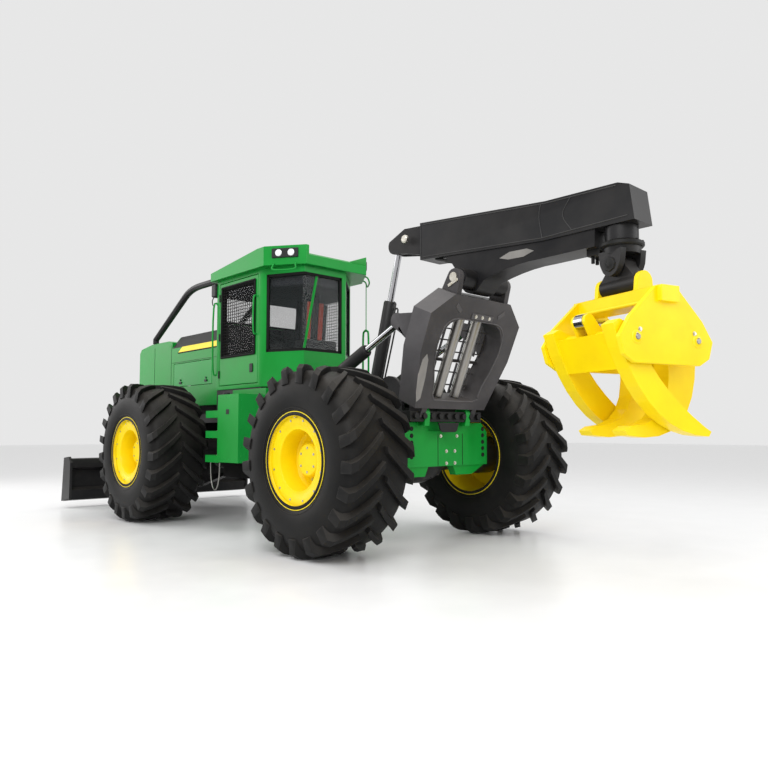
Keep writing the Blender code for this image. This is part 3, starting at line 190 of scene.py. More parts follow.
GREEN = surface("green_paint", (0.004, 0.235, 0.026), (0.007, 0.270, 0.034), 0.36, bump=0.03, dust=0.05, coat=0.03,
                wear=(0.02, 0.33, 0.07), specular=0.14)
YELLOW = surface("yellow_paint", (0.95, 0.71, 0.002), (0.88, 0.62, 0.002), 0.36, bump=0.04, dust=0.05, coat=0.03,
                 wear=(0.96, 0.80, 0.05), specular=0.15)
BLACK = surface("black_paint", (0.010, 0.010, 0.011), (0.020, 0.019, 0.019), 0.36, bump=0.08, dust=0.10,
                wear=(0.07, 0.07, 0.07), specular=0.16)
CHARCOAL = surface("charcoal_paint", (0.036, 0.034, 0.036), (0.066, 0.062, 0.064), 0.42, bump=0.08, dust=0.14,
                   wear=(0.15, 0.145, 0.15), specular=0.20)
SATIN_BLACK = surface("satin_black_panel", (0.005, 0.005, 0.005), (0.010, 0.010, 0.010), 0.5, bump=0.10, dust=0.05,
                      specular=0.25)
RUBBER = surface("tyre_rubber", (0.0055, 0.0055, 0.0055), (0.012, 0.0115, 0.011), 0.52, grain=30.0, bump=0.35,
                 dust=0.14, wear=(0.035, 0.034, 0.033), specular=0.14)
SEAL = surface("window_seal", (0.003, 0.003, 0.003), (0.006, 0.006, 0.006), 0.7, bump=0.2, specular=0.2)
HOSE = surface("hydraulic_hose", (0.008, 0.008, 0.008), (0.018, 0.017, 0.016), 0.55, grain=60.0, bump=0.4)
CHROME = surface("chromed_rod", (0.55, 0.55, 0.57), (0.42, 0.42, 0.44), 0.16, 1.0, bump=0.02, spread=0.05)
STEEL = surface("bare_steel", (0.22, 0.21, 0.20), (0.34, 0.33, 0.31), 0.38, 1.0, bump=0.2, spread=0.15,
                stretch=(1.0, 1.0, 0.15))
ZINC = surface("zinc_bolts", (0.52, 0.49, 0.42), (0.66, 0.64, 0.58), 0.34, 1.0, grain=60.0, bump=0.1)
IRON = surface("cast_iron", (0.025, 0.025, 0.026), (0.050, 0.048, 0.046), 0.7, 0.4, grain=40.0, bump=0.6)
PLASTIC = surface("dark_plastic", (0.010, 0.010, 0.011), (0.018, 0.018, 0.019), 0.55, grain=60.0, bump=0.35,
                  specular=0.3)
HEADLINER = surface("headliner_cloth", (0.030, 0.031, 0.038), (0.042, 0.043, 0.050), 0.95, grain=90.0, bump=0.5,
                    specular=0.2)
SEAT_CLOTH = surface("seat_cloth", (0.008, 0.008, 0.009), (0.018, 0.017, 0.019), 0.92, grain=110.0, bump=0.7,
                     specular=0.2)
SEAT_RED = surface("seat_red_cloth", (0.42, 0.045, 0.022), (0.52, 0.075, 0.035), 0.85, grain=110.0, bump=0.6)
LAMP_GLASS = surface("lamp_lens", (0.75, 0.77, 0.78), (0.9, 0.9, 0.9), 0.12, bump=0.05, spread=0.05, coat=0.8)
GLASS = glass("window_glass", (0.02, 0.028, 0.028), 0.16)
FLOOR = surface("floor", (0.80, 0.80, 0.80), (0.83, 0.83, 0.83), 0.30, bump=0.0, spread=0.05)


# ---------------------------------------------------------------- building tools

class Shape:
    """Gathers simple solids into one mesh, which done() turns into a piece."""

    def __init__(self):
        self.mesh = bmesh.new()

    def block(self, low, high, turn=None):
        size = [b - a for a, b in zip(low, high)]
        centre = Vector([(a + b) / 2 for a, b in zip(low, high)])
        matrix = Matrix.Translation(centre) @ Matrix.Diagonal((*size, 1.0))
        bmesh.ops.create_cube(self.mesh, size=1.0, matrix=(turn or Matrix()) @ matrix)
        return self

    def bar(self, start, end, radius, sides=12, end_radius=None):
        line = Vector(end) - Vector(start)
        matrix = Matrix.Translation((Vector(start) + Vector(end)) / 2)
        matrix = matrix @ line.to_track_quat("Z", "Y").to_matrix().to_4x4()
        bmesh.ops.create_cone(self.mesh, cap_ends=True, segments=sides, radius1=radius,
                              radius2=radius if end_radius is None else end_radius, depth=line.length, matrix=matrix)
        return self

    def ball(self, centre, radius):
        bmesh.ops.create_uvsphere(self.mesh, u_segments=14, v_segments=8, radius=radius,
                                  matrix=Matrix.Translation(centre))
        return self

    def plate(self, outline, axis, low, high, matrix=None):
        """A flat outline with thickness: (y, z) points for axis x, (x, z) for y and (x, y) for z."""
        order = {"x": lambda u, v, w: (w, u, v), "y": lambda u, v, w: (u, w, v), "z": lambda u, v, w: (u, v, w)}[axis]
        matrix = matrix or Matrix()
        rings = [[self.mesh.verts.new(matrix @ Vector(order(u, v, w))) for u, v in outline] for w in (low, high)]
        self.mesh.faces.new(rings[0][::-1])
        self.mesh.faces.new(rings[1])
        count = len(outline)
        for i in range(count):
            j = (i + 1) % count
            self.mesh.faces.new((rings[0][i], rings[0][j], rings[1][j], rings[1][i]))
        return self

    def turn(self, profile, at, direction, sides=48, closed=False):
        """A profile of (radius, height) points turned about a line through at."""
        matrix = Matrix.Translation(at) @ Vector(direction).to_track_quat("Z", "Y").to_matrix().to_4x4()
        rings = []
        for radius, height in profile:
            if radius < 1e-6:
                rings.append([self.mesh.verts.new(matrix @ Vector((0.0, 0.0, height)))] * sides)
                continue
            rings.append([self.mesh.verts.new(matrix @ Vector((radius * math.cos(a), radius * math.sin(a), height)))
                          for a in (2 * math.pi * i / sides for i in range(sides))])
        pairs = list(zip(rings, rings[1:]))
        if closed:
            pairs.append((rings[-1], rings[0]))
        for upper, lower in pairs:
            for i in range(sides):
                j = (i + 1) % sides
                corners = [upper[i], lower[i], lower[j], upper[j]]
                corners = [v for k, v in enumerate(corners) if v not in corners[:k]]
                if len(corners) > 2:
                    self.mesh.faces.new(corners)
        return self

    def tube(self, points, radius, sides=8, smooth=4):
        """A round tube on a smooth curve through points."""
        points = [Vector(p) for p in points]
        path = []
        for i in range(len(points) - 1):
            before = points[max(i - 1, 0)]
            after = points[min(i + 2, len(points) - 1)]
            a, b = points[i], points[i + 1]
            for k in range(smooth):
                t = k / smooth
                path.append(0.5 * ((2 * a) + (b - before) * t + (2 * before - 5 * a + 4 * b - after) * t * t
                                   + (3 * a - before - 3 * b + after) * t ** 3))
        path.append(points[-1])
        side = None
        rings = []
        for i, place in enumerate(path):
            ahead = (path[min(i + 1, len(path) - 1)] - path[max(i - 1, 0)]).normalized()
            if side is None:
                side = ahead.orthogonal().normalized()
            side = (side - ahead * side.dot(ahead)).normalized()
            up = ahead.cross(side)
            rings.append([self.mesh.verts.new(place + (side * math.cos(a) + up * math.sin(a)) * radius)
                          for a in (2 * math.pi * k / sides for k in range(sides))])
        for first, second in zip(rings, rings[1:]):
            for k in range(sides):
                j = (k + 1) % sides
                self.mesh.faces.new((first[k], first[j], second[j], second[k]))
        self.mesh.faces.new(rings[0][::-1])
        self.mesh.faces.new(rings[-1])
        return self

    def bolt(self, place, direction, radius=0.014, height=0.010):
        """A hexagon head on a washer."""
        place, direction = Vector(place), Vector(direction).normalized()
        self.bar(place, place + direction * height * 0.25, radius * 1.45, 14)
        self.bar(place + direction * height * 0.2, place + direction * height, radius, 6)
        return self

    def done(self, name, material, body, bevel=0.0, smooth=True, replaces=(), slot=None):
        bmesh.ops.recalc_face_normals(self.mesh, faces=self.mesh.faces)
        mesh = bpy.data.meshes.new(name)
        self.mesh.to_mesh(mesh)
        self.mesh.free()
        thing = bpy.data.objects.new(name, mesh)
        bpy.context.scene.collection.objects.link(thing)
        mesh.materials.append(material)
        if smooth:
            mesh.shade_smooth()
            mesh.set_sharp_from_angle(angle=math.radians(38))
        if bevel:
            edge = thing.modifiers.new("edge", "BEVEL")
            edge.width = bevel
            edge.segments = 2
            edge.limit_method = "ANGLE"
            edge.angle_limit = math.radians(35)
            edge.harden_normals = True
        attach(thing, body)
        if replaces:
            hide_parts(*replaces)
        return thing


def finish_cad(name, material, bevel=0.006, smooth=True):
    """Gives a CAD node its material and small rounded edges."""
    thing = node[name]
    thing.data.materials.clear()
    thing.data.materials.append(material)
    for attribute in ("custom_normal",):
        if attribute in thing.data.attributes:
            thing.data.attributes.remove(thing.data.attributes[attribute])
    if smooth:
        thing.data.shade_smooth()
    else:
        thing.data.shade_flat()
    weld = thing.modifiers.new("weld", "WELD")
    weld.merge_threshold = 0.0001
    edge = thing.modifiers.new("edge", "BEVEL")
    edge.width = bevel
    edge.segments = 2
    edge.limit_method = "ANGLE"
    edge.angle_limit = math.radians(35)
    edge.harden_normals = smooth
    return thing


def grid(shape, origin, across, up, columns, rows, radius=0.003):
    """A welded wire mesh between a corner and its two sides."""
    origin, across, up = Vector(origin), Vector(across), Vector(up)
    for i in range(columns + 1):
        start = origin + across * (i / columns)
        shape.bar(start, start + up, radius, 4)
    for i in range(rows + 1):
        start = origin + up * (i / rows)
        shape.bar(start, start + across, radius, 4)
    return shape


floor = Shape()
floor.block((-60.0, -60.0, -0.05), (60.0, 60.0, -0.002))
floor_piece = floor.done("floor", FLOOR, "front_body")

# ---------------------------------------------------------------- wheels

LUGS = 21
LUG_SWEEP = 0.36


def tyre(end, side, sign):
    low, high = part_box(f"tyre_{end}_{side}")
    centre = (Vector(low) + Vector(high)) / 2
    radius = (high[2] - low[2]) / 2 - 0.001
    half = (high[0] - low[0]) / 2 - 0.001
    carcass = radius - 0.058
    shape = Shape()
    profile = [(0.425, 0.36), (0.455, 0.362), (0.47, half - 0.035), (0.52, half - 0.012), (0.60, half - 0.003),
               (0.68, half - 0.006), (0.76, half - 0.022), (0.82, half - 0.05), (carcass - 0.006, half - 0.10),
               (carcass, 0.12), (carcass, 0.0)]
    section = profile + [(r, -x) for r, x in reversed(profile[:-1])]
    shape.turn(section, centre, (sign, 0, 0), 84)
    for ring in (0.50, 0.565):
        for face in (1, -1):
            x = centre.x + face * (half - 0.016)
            shape.turn([(ring, 0.006), (ring + 0.004, 0.0), (ring - 0.004, 0.0)], (x, centre.y, centre.z),
                       (face, 0, 0), 84, closed=True)
    # across, height over the carcass, half thickness along the tread
    stations = ((0.015, 0.050, 0.034), (0.12, 0.056, 0.038), (0.24, 0.056, 0.043), (half - 0.055, 0.052, 0.052),
                (half - 0.008, 0.012, 0.056))
    for face in (1, -1):
        for i in range(LUGS):
            start = 2 * math.pi * (i + (0.5 if face < 0 else 0.0)) / LUGS
            rings = []
            for x, rise, thick in stations:
                angle = start - LUG_SWEEP * (x / half) ** 0.85
                top = carcass + rise
                foot = carcass - 0.02 if x < half - 0.06 else carcass - 0.13
                corners = []
                for r, t in ((foot, 1.25), (top, 0.85), (top, -0.85), (foot, -1.25)):
                    a = angle + t * thick / radius
                    corners.append(shape.mesh.verts.new((centre.x + face * x, centre.y + r * math.cos(a),
                                                         centre.z + r * math.sin(a))))
                rings.append(corners)
            end_ring = []
            angle = start - LUG_SWEEP
            for r, t in ((0.735, 1.1), (0.745, 0.85), (0.745, -0.85), (0.735, -1.1)):
                a = angle + t * 0.040 / radius
                end_ring.append(shape.mesh.verts.new((centre.x + face * (half - 0.001), centre.y + r * math.cos(a),
                                                      centre.z + r * math.sin(a))))
            rings.append(end_ring)
            for first, second in zip(rings, rings[1:]):
                for k in range(4):
                    j = (k + 1) % 4
                    shape.mesh.faces.new((first[k], first[j], second[j], second[k]))
            shape.mesh.faces.new(rings[0])
            shape.mesh.faces.new(rings[-1][::-1])
    shape.done(f"tread_tyre_{end}_{side}", RUBBER, f"wheel_{end}_{side}_body", bevel=0.004,
               replaces=(f"tyre_{end}_{side}",), slot="tyre")


def rim(end, side, sign):
    centre = middle(f"tyre_{end}_{side}")
    out = Vector((sign, 0, 0))
    shape = Shape()
    profile = [(0.0, 0.20), (0.145, 0.20), (0.16, 0.185), (0.165, 0.10), (0.215, 0.09), (0.26, 0.095),
               (0.285, 0.12), (0.288, 0.30), (0.296, 0.312), (0.345, 0.316), (0.352, 0.322), (0.425, 0.326),
               (0.435, 0.34), (0.440, 0.358), (0.466, 0.360), (0.469, 0.345), (0.450, 0.330), (0.436, 0.30),
               (0.43, -0.30), (0.45, -0.33), (0.469, -0.345), (0.466, -0.360), (0.440, -0.358), (0.425, -0.33),
               (0.41, -0.28), (0.405, -0.05), (0.37, 0.03), (0.20, 0.05), (0.0, 0.05)]
    shape.turn(profile, centre, out, 72)
    shape.done(f"pressed_rim_{end}_{side}", YELLOW, f"wheel_{end}_{side}_body",
               replaces=(f"rim_{end}_{side}",), slot="yellow_paint")
    nuts = Shape()
    for count, ring, height, size in ((12, 0.195, 0.092, 0.015), (12, 0.385, 0.324, 0.008), (6, 0.115, 0.20, 0.009)):
        for i in range(count):
            a = 2 * math.pi * (i + 0.5) / count
            place = centre + out * height + Vector((0, math.cos(a), math.sin(a))) * ring
            nuts.bolt(place, out, size, size * 0.9)
    valve = centre + out * 0.32 + Vector((0, 0.0, 0.405))
    nuts.bar(valve, valve + out * 0.035, 0.006, 8)
    nuts.done(f"wheel_nuts_{end}_{side}", ZINC, f"wheel_{end}_{side}_body")


for end in ENDS:
    for side, sign in SIDES:
        tyre(end, side, sign)
        rim(end, side, sign)

# ---------------------------------------------------------------- CAD nodes that keep their shape

FINISHES = (
    (GREEN, 0.008, ("hood", "cab_shell", "cab_roof", "rear_frame", "step_box_left", "step_box_right",
                    "door_left", "door_right", "engine_door_left", "engine_door_right")),
    (YELLOW, 0.008, ("grapple_head", "tong_left", "tong_right")),
    (CHARCOAL, 0.008, ("arch",)),
    (BLACK, 0.008, ("boom", "blade", "front_frame", "limb_riser_left", "limb_riser_right", "front_axle",
                    "rear_axle", "rotator", "rotator_yoke", "crosshead", "winch_frame")),
    (SATIN_BLACK, 0.004, ("grille_door",)),
    (STEEL, 0.003, ("winch_drum", "fairlead_roller_left", "fairlead_roller_right")),
    (IRON, 0.010, ("engine_block",)),
    (PLASTIC, 0.012, ("console",)),
)
for material, bevel, names in FINISHES:
    for name in names:
        finish_cad(name, material, bevel, material is not YELLOW)
for name in node:
    if "cylinder_barrel" in name:
        finish_cad(name, BLACK, 0.003)
    if "cylinder_rod" in name:
        finish_cad(name, CHROME, 0.001)
    if name.startswith("step_cable"):
        finish_cad(name, STEEL, 0.0005)

# ---------------------------------------------------------------- hood

hood_low, hood_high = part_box("hood")
HOOD_SIDE = hood_high[0]
cab_low, cab_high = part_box("cab_shell")
CAB_FRONT = cab_low[1]
CAB_SIDE = cab_high[0]
STRIPE_LOW, STRIPE_HIGH = 2.372, 2.448
STRIPE_START = FRONT_AXLE - 0.53
CREST = 0.48
CREST_TOP = 2.63
PANEL_START = FRONT_AXLE - 0.72
SKIN = 0.003

skin = Shape()
section = [(HOOD_SIDE + SKIN, STRIPE_HIGH), (CREST + SKIN, CREST_TOP + SKIN), (-CREST - SKIN, CREST_TOP + SKIN),
           (-HOOD_SIDE - SKIN, STRIPE_HIGH)]
inner = [(x * 0.985, z - 0.008) for x, z in reversed(section)]
skin.plate(section + inner, "y", PANEL_START, CAB_FRONT - 0.021)
skin.done("hood_top_panel", SATIN_BLACK, "front_body")

STRIPE_END = CAB_FRONT - 0.025
for side, sign in SIDES:
    stripe = Shape()
    stripe.plate([(STRIPE_START, STRIPE_LOW), (STRIPE_END, STRIPE_LOW), (STRIPE_END, STRIPE_HIGH),
                  (STRIPE_START + 0.12, STRIPE_HIGH)], "x",
                 *sorted((sign * (HOOD_SIDE - 0.004), sign * (HOOD_SIDE + SKIN))))
    stripe.done(f"hood_stripe_{side}", YELLOW, "front_body")
    border = Shape()
    low, high = sorted((sign * (HOOD_SIDE - 0.004), sign * (HOOD_SIDE + 0.002)))
    border.block((low, STRIPE_START - 0.02, STRIPE_LOW - 0.018), (high, STRIPE_END, STRIPE_LOW - 0.001))
    for y in (FRONT_AXLE - 0.76, FRONT_AXLE - 1.33):
        border.block((low, y, 1.50), (high, y + 0.005, 2.50))
    border.block((low, FRONT_AXLE - 0.74, 2.222), (high, CAB_FRONT - 0.025, 2.227))
    border.block((low, FRONT_AXLE - 1.84, 1.72), (high, FRONT_AXLE - 1.35, 1.725))
    border.done(f"hood_seams_{side}", SEAL, "front_body")
    latch = Shape()
    for y in (FRONT_AXLE - 0.48, FRONT_AXLE + 0.28):
        latch.block((min(sign * 0.612, sign * 0.634), y, 1.895), (max(sign * 0.612, sign * 0.634), y + 0.07, 1.925))
        latch.bar((sign * 0.62, y + 0.035, 1.95), (sign * 0.632, y + 0.035, 1.95), 0.014, 14)
    latch.done(f"engine_door_latch_{side}", PLASTIC, f"engine_door_{side}_body", bevel=0.003)
    lamp = Shape()
    lamp.block((sign * 0.595 - 0.02, FRONT_AXLE - 1.889, 2.18), (sign * 0.595 + 0.02, FRONT_AXLE - 1.86, 2.36))
    lamp.done(f"front_lamp_frame_{side}", PLASTIC, "front_body", bevel=0.004)
    lens = Shape()
    for z in (2.225, 2.315):
        lens.bar((sign * 0.595, FRONT_AXLE - 1.895, z), (sign * 0.595, FRONT_AXLE - 1.88, z), 0.017, 20)
    lens.done(f"front_lamp_lens_{side}", LAMP_GLASS, "front_body")

screen = Shape()
grid(screen, (-0.44, hood_low[1] + 0.062, 1.74), (0.88, 0, 0), (0, 0, 0.60), 34, 24, 0.002)
screen.done("grille_screen", SATIN_BLACK, "grille_body", smooth=False)
handle = Shape()
handle.tube([(-0.47, hood_low[1] + 0.004, 1.95), (-0.47, hood_low[1] - 0.028, 1.97), (-0.47, hood_low[1] - 0.028, 2.11),
             (-0.47, hood_low[1] + 0.004, 2.13)], 0.008)
handle.done("grille_handle", SATIN_BLACK, "grille_body")

# ---------------------------------------------------------------- cab

SILL, HEAD = 2.17, 3.14
SIDE_REAR = FRONT_AXLE + 1.86
CAB_REAR = cab_high[1]
PLAN = ((CAB_SIDE, CAB_FRONT), (CAB_SIDE, SIDE_REAR), (0.46, CAB_REAR), (-0.19, CAB_REAR), (-CAB_SIDE, SIDE_REAR),
        (-CAB_SIDE, CAB_FRONT))


def pane(name, first, second, low, high, margin_start, margin_end, depth=0.022, body="front_body", ends=(1, 1)):
    """A window pane in a wall between two plan corners, with a black seal round it, less at an end where 0."""
    start, end = Vector((*first, 0)), Vector((*second, 0))
    along = (end - start).normalized()
    inward = Vector((-along.y, along.x, 0))
    a = start + along * margin_start + inward * depth
    b = end - along * margin_end + inward * depth
    sheet = Shape()
    corners = [(a, low), (b, low), (b, high), (a, high)]
    near = [sheet.mesh.verts.new((p.x, p.y, z)) for p, z in corners]
    far = [sheet.mesh.verts.new((p.x + inward.x * 0.006, p.y + inward.y * 0.006, z)) for p, z in corners]
    sheet.mesh.faces.new(near)
    sheet.mesh.faces.new(far[::-1])
    for i in range(4):
        j = (i + 1) % 4
        sheet.mesh.faces.new((near[i], far[i], far[j], near[j]))
    sheet.done(name, GLASS, body, smooth=False)
    seal = Shape()
    out = -inward * (depth - 0.004)
    border = 0.034
    strips = [(a, b, low, low + border), (a, b, high - border, high)]
    if ends[0]:
        strips.append((a, a + along * border, low, high))
    if ends[1]:
        strips.append((b - along * border, b, low, high))
    for p, q, z0, z1 in strips:
        ring = [p + out, q + out, q + inward * 0.012, p + inward * 0.012]
        bottom = [seal.mesh.verts.new((v.x, v.y, z0)) for v in ring]
        top = [seal.mesh.verts.new((v.x, v.y, z1)) for v in ring]
        seal.mesh.faces.new(bottom[::-1])
        seal.mesh.faces.new(top)
        for i in range(4):
            j = (i + 1) % 4
            seal.mesh.faces.new((bottom[i], bottom[j], top[j], top[i]))
    seal.done(name + "_seal", SEAL, body, smooth=False)


pane("rear_left_glass", PLAN[1], PLAN[2], SILL, HEAD, 0.07, 0.0, ends=(1, 0))
pane("rear_glass", PLAN[2], PLAN[3], SILL, HEAD, 0.0, 0.06, ends=(0, 1))
pane("rear_right_glass", PLAN[3], PLAN[4], SILL, HEAD, 0.07, 0.07)
pane("windscreen", PLAN[5], PLAN[0], 2.66, HEAD, 0.10, 0.10)



def inset(distance):
    """The cab's plan, moved inward."""
    corners = []
    for i, corner in enumerate(PLAN):
        before, after = Vector(PLAN[i - 1]), Vector(PLAN[(i + 1) % len(PLAN)])
        corner = Vector(corner)
        first, second = (corner - before).normalized(), (after - corner).normalized()
        turn = first.x * second.y - first.y * second.x
        step = Vector((-first.y, first.x)) * distance
        next_step = Vector((-second.y, second.x)) * distance
        slide = ((next_step - step).x * second.y - (next_step - step).y * second.x) / turn
        corners.append(tuple(corner + step + first * slide))
    return corners


# Dark panels inside the cab, below the sills and under the windscreen, and a dark floor sheet: painted shade for the
# dim inside of the cab, laid over the green inner walls.
inner_shade = Shape()
near_wall, far_wall = inset(0.048), inset(0.056)
for first, second, low, high in ((1, 2, 1.81, SILL - 0.004), (2, 3, 1.81, SILL - 0.004), (3, 4, 1.81, SILL - 0.004),
                                 (5, 0, 1.81, 2.655)):
    inner_shade.plate([near_wall[first], near_wall[second], far_wall[second], far_wall[first]], "z", low, high)
inner_shade.plate(inset(0.058), "z", 1.806, 1.812)
inner_shade.done("cab_painted_shade_lining", PLASTIC, "front_body")

lining = Shape()
lining.plate([(0.655, CAB_FRONT + 0.06), (0.655, SIDE_REAR - 0.03), (0.42, CAB_REAR - 0.06), (-0.17, CAB_REAR - 0.06),
              (-0.655, SIDE_REAR - 0.03), (-0.655, CAB_FRONT + 0.06)], "z", 2.99, 3.215)
lining.done("headliner", HEADLINER, "front_body", bevel=0.03)

for side, sign in SIDES:
    low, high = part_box(f"door_{side}")
    y0, y1 = low[1] + 0.06, high[1] - 0.06
    z0, z1 = SILL, high[2] - 0.06
    door = f"door_{side}_body"
    first, second = (((CAB_SIDE, y0), (CAB_SIDE, y1)) if sign > 0 else ((-CAB_SIDE, y1), (-CAB_SIDE, y0)))
    pane(f"door_glass_{side}", first, second, z0, z1, 0.0, 0.0, depth=0.032, body=door)
    guard = Shape()
    x = sign * (CAB_SIDE + 0.008)
    grid(guard, (x, y0 + 0.02, z0 + 0.02), (0, y1 - y0 - 0.04, 0), (0, 0, z1 - z0 - 0.04), 15, 22, 0.0045)
    for a, b in (((y0, z0), (y1, z0)), ((y1, z0), (y1, z1)), ((y1, z1), (y0, z1)), ((y0, z1), (y0, z0))):
        guard.bar((x, a[0], a[1]), (x, b[0], b[1]), 0.013, 8)
    guard.done(f"door_guard_{side}", SEAL, door, smooth=False)
    grip = Shape()
    gx = sign * (CAB_SIDE + 0.045)
    grip.tube([(sign * CAB_SIDE, high[1] - 0.03, 2.42), (gx, high[1] - 0.03, 2.45), (gx, high[1] - 0.03, 2.86),
               (sign * CAB_SIDE, high[1] - 0.03, 2.89)], 0.011, 10)
    grip.done(f"door_grip_{side}", GREEN, door)
    lock = Shape()
    lock.block((min(sign * (CAB_SIDE - 0.002), sign * (CAB_SIDE + 0.012)), high[1] - 0.17, 1.94),
               (max(sign * (CAB_SIDE - 0.002), sign * (CAB_SIDE + 0.012)), high[1] - 0.10, 2.05))
    lock.done(f"door_lock_{side}", PLASTIC, door, bevel=0.006)
    hinges = Shape()
    for z in (1.95, 2.45, 2.98):
        hinges.bar((sign * CAB_SIDE, low[1], z - 0.05), (sign * CAB_SIDE, low[1], z + 0.05), 0.016, 24)
    hinges.done(f"door_hinges_{side}", SATIN_BLACK, door)
    rail = Shape()
    rx = sign * (CAB_SIDE + 0.035)
    ry = CAB_FRONT - 0.01
    rail.tube([(sign * (CAB_SIDE - 0.03), ry, 1.98), (rx, ry - 0.02, 2.02), (rx, ry - 0.02, 2.86),
               (sign * (CAB_SIDE - 0.03), ry, 2.90)], 0.012, 10)
    rail.done(f"front_handrail_{side}", GREEN, "front_body")
    mirror = Shape()
    my = CAB_FRONT - 0.02
    mirror.block((sign * 0.70 - 0.05, my - 0.10, 3.02), (sign * 0.70 + 0.05, my + 0.02, 3.20))
    mirror.done(f"front_lamp_box_{side}", PLASTIC, "front_body", bevel=0.02)
    hook = Shape()
    hook.tube([(sign * 0.74, my - 0.02, 3.03), (sign * 0.745, my - 0.07, 2.97), (sign * 0.745, my - 0.04, 2.90),
               (sign * 0.735, my + 0.0, 2.93)], 0.007, 8)
    hook.done(f"mirror_hook_{side}", SATIN_BLACK, "front_body")

roof_low, roof_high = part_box("cab_roof")
ROOF_REAR = roof_high[1]
CORNER = FRONT_AXLE + 2.02


def fascia_frame(sign):
    """The roof's rear corner face: its middle, its outward normal and its direction along."""
    a, b = Vector((sign * 0.80, CORNER, 0)), Vector((sign * 0.48, ROOF_REAR, 0))
    along = (b - a).normalized()
    normal = Vector((along.y * sign, -along.x * sign, 0)).normalized()
    if normal.y < 0:
        normal = -normal
    return (a + b) / 2, along, normal


def turned_block(shape, centre, along, normal, size):
    """A block with its width along, its depth along normal and its height up."""
    up = Vector((0, 0, 1))
    matrix = Matrix((along, normal, up)).transposed().to_4x4()
    matrix.translation = centre
    half = [s / 2 for s in size]
    shape.block([-h for h in half], half, turn=matrix)


for side, sign in SIDES:
    centre, along, normal = fascia_frame(sign)
    housing = Shape()
    turned_block(housing, centre + normal * 0.004 + Vector((0, 0, 3.365)), along, normal, (0.34, 0.03, 0.115))
    housing.done(f"rear_lamp_panel_{side}", PLASTIC, "front_body", bevel=0.008)
    lens = Shape()
    for offset in (-0.08, 0.08):
        place = centre + along * offset + Vector((0, 0, 3.365))
        lens.turn([(0.0, 0.022), (0.030, 0.026), (0.040, 0.024), (0.044, 0.018), (0.044, 0.0), (0.0, 0.0)], place,
                  normal, 24)
    lens.done(f"rear_lamp_lens_{side}", LAMP_GLASS, "front_body")
    bail = Shape()
    points = [(-0.13, 3.235, 0.0), (-0.14, 3.215, 0.05), (-0.13, 3.15, 0.075), (0.13, 3.15, 0.075), (0.14, 3.215, 0.05),
              (0.13, 3.235, 0.0)]
    bail.tube([centre + along * a + normal * (d - 0.02) + Vector((0, 0, z)) for a, z, d in points], 0.010, 10)
    bail.done(f"rear_lamp_bail_{side}", GREEN, "front_body")

ROOF_PEAK = FRONT_AXLE + 1.87
ROOF_SLOPE = 0.111
hatch = Shape()
hatch_side = [(y, roof_high[2] - (ROOF_PEAK - y) * ROOF_SLOPE + rise)
              for y, rise in ((ROOF_PEAK - 0.70, -0.004), (ROOF_PEAK - 0.05, -0.004), (ROOF_PEAK - 0.05, 0.014),
                              (ROOF_PEAK - 0.70, 0.014))]
hatch.plate(hatch_side, "x", -0.30, 0.30)
hatch.done("roof_hatch", CHARCOAL, "front_body", bevel=0.004)

loop = Shape()
lx, ly = -CAB_SIDE - 0.10, SIDE_REAR + 0.16
loop.tube([(lx, ly, 1.80), (lx, ly, 2.46), (lx, ly + 0.03, 2.56), (lx, ly + 0.08, 2.56), (lx, ly + 0.11, 2.46),
           (lx, ly + 0.11, 1.80)], 0.014, 10)
loop.bar((lx, ly - 0.02, 1.83), (-0.66, ly - 0.10, 1.76), 0.02, 10)
loop.bar((lx, ly + 0.06, 2.55), (lx, ly + 0.06, 3.22), 0.006, 8)
loop.done("right_rear_handrail", GREEN, "front_body")

# ---------------------------------------------------------------- seat and controls

seat_low, seat_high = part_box("seat")


def cushion(name, size, place, tilt, material, crown=0.035):
    """A crowned cushion, narrower between its corners, with a welt round its edge."""
    shape = Shape()
    columns, rows = 14, 14
    width, length, thick = size
    sheets = []
    for face in (1, -1):
        sheet = []
        for i in range(columns + 1):
            row = []
            for j in range(rows + 1):
                u, v = 2 * i / columns - 1, 2 * j / rows - 1
                pull = 1 - 0.05 * (1 - u * u) * abs(v) ** 6 - 0.05 * (1 - v * v) * abs(u) ** 6
                edge = max(0.0, (1 - abs(u) ** 6) * (1 - abs(v) ** 6))
                channel = 0.10 * thick * (1 if abs(abs(u) - 0.55) < 0.09 else 0) * edge
                z = face * (thick / 2) * (0.55 + 0.45 * edge)
                z += (face * crown * edge if face > 0 else 0) - face * channel
                row.append(Vector((u * width / 2 * pull, v * length / 2 * pull, z)))
            sheet.append(row)
        sheets.append(sheet)
    matrix = Matrix.Translation(place) @ Matrix.Rotation(tilt, 4, "X")
    verts = [[[shape.mesh.verts.new(matrix @ p) for p in row] for row in sheet] for sheet in sheets]
    for k, sheet in enumerate(verts):
        for i in range(columns):
            for j in range(rows):
                quad = (sheet[i][j], sheet[i + 1][j], sheet[i + 1][j + 1], sheet[i][j + 1])
                shape.mesh.faces.new(quad if k == 0 else quad[::-1])
    rim_path = [(i, 0) for i in range(columns)] + [(columns, j) for j in range(rows)]
    rim_path += [(i, rows) for i in range(columns, 0, -1)] + [(0, j) for j in range(rows, 0, -1)]
    for (i, j), (k, m) in zip(rim_path, rim_path[1:] + rim_path[:1]):
        shape.mesh.faces.new((verts[0][i][j], verts[1][i][j], verts[1][k][m], verts[0][k][m]))
    piece = shape.done(name, material, "front_body", slot="seat_cloth")
    smooth = piece.modifiers.new("round", "SUBSURF")
    smooth.levels = 1
    smooth.render_levels = 1


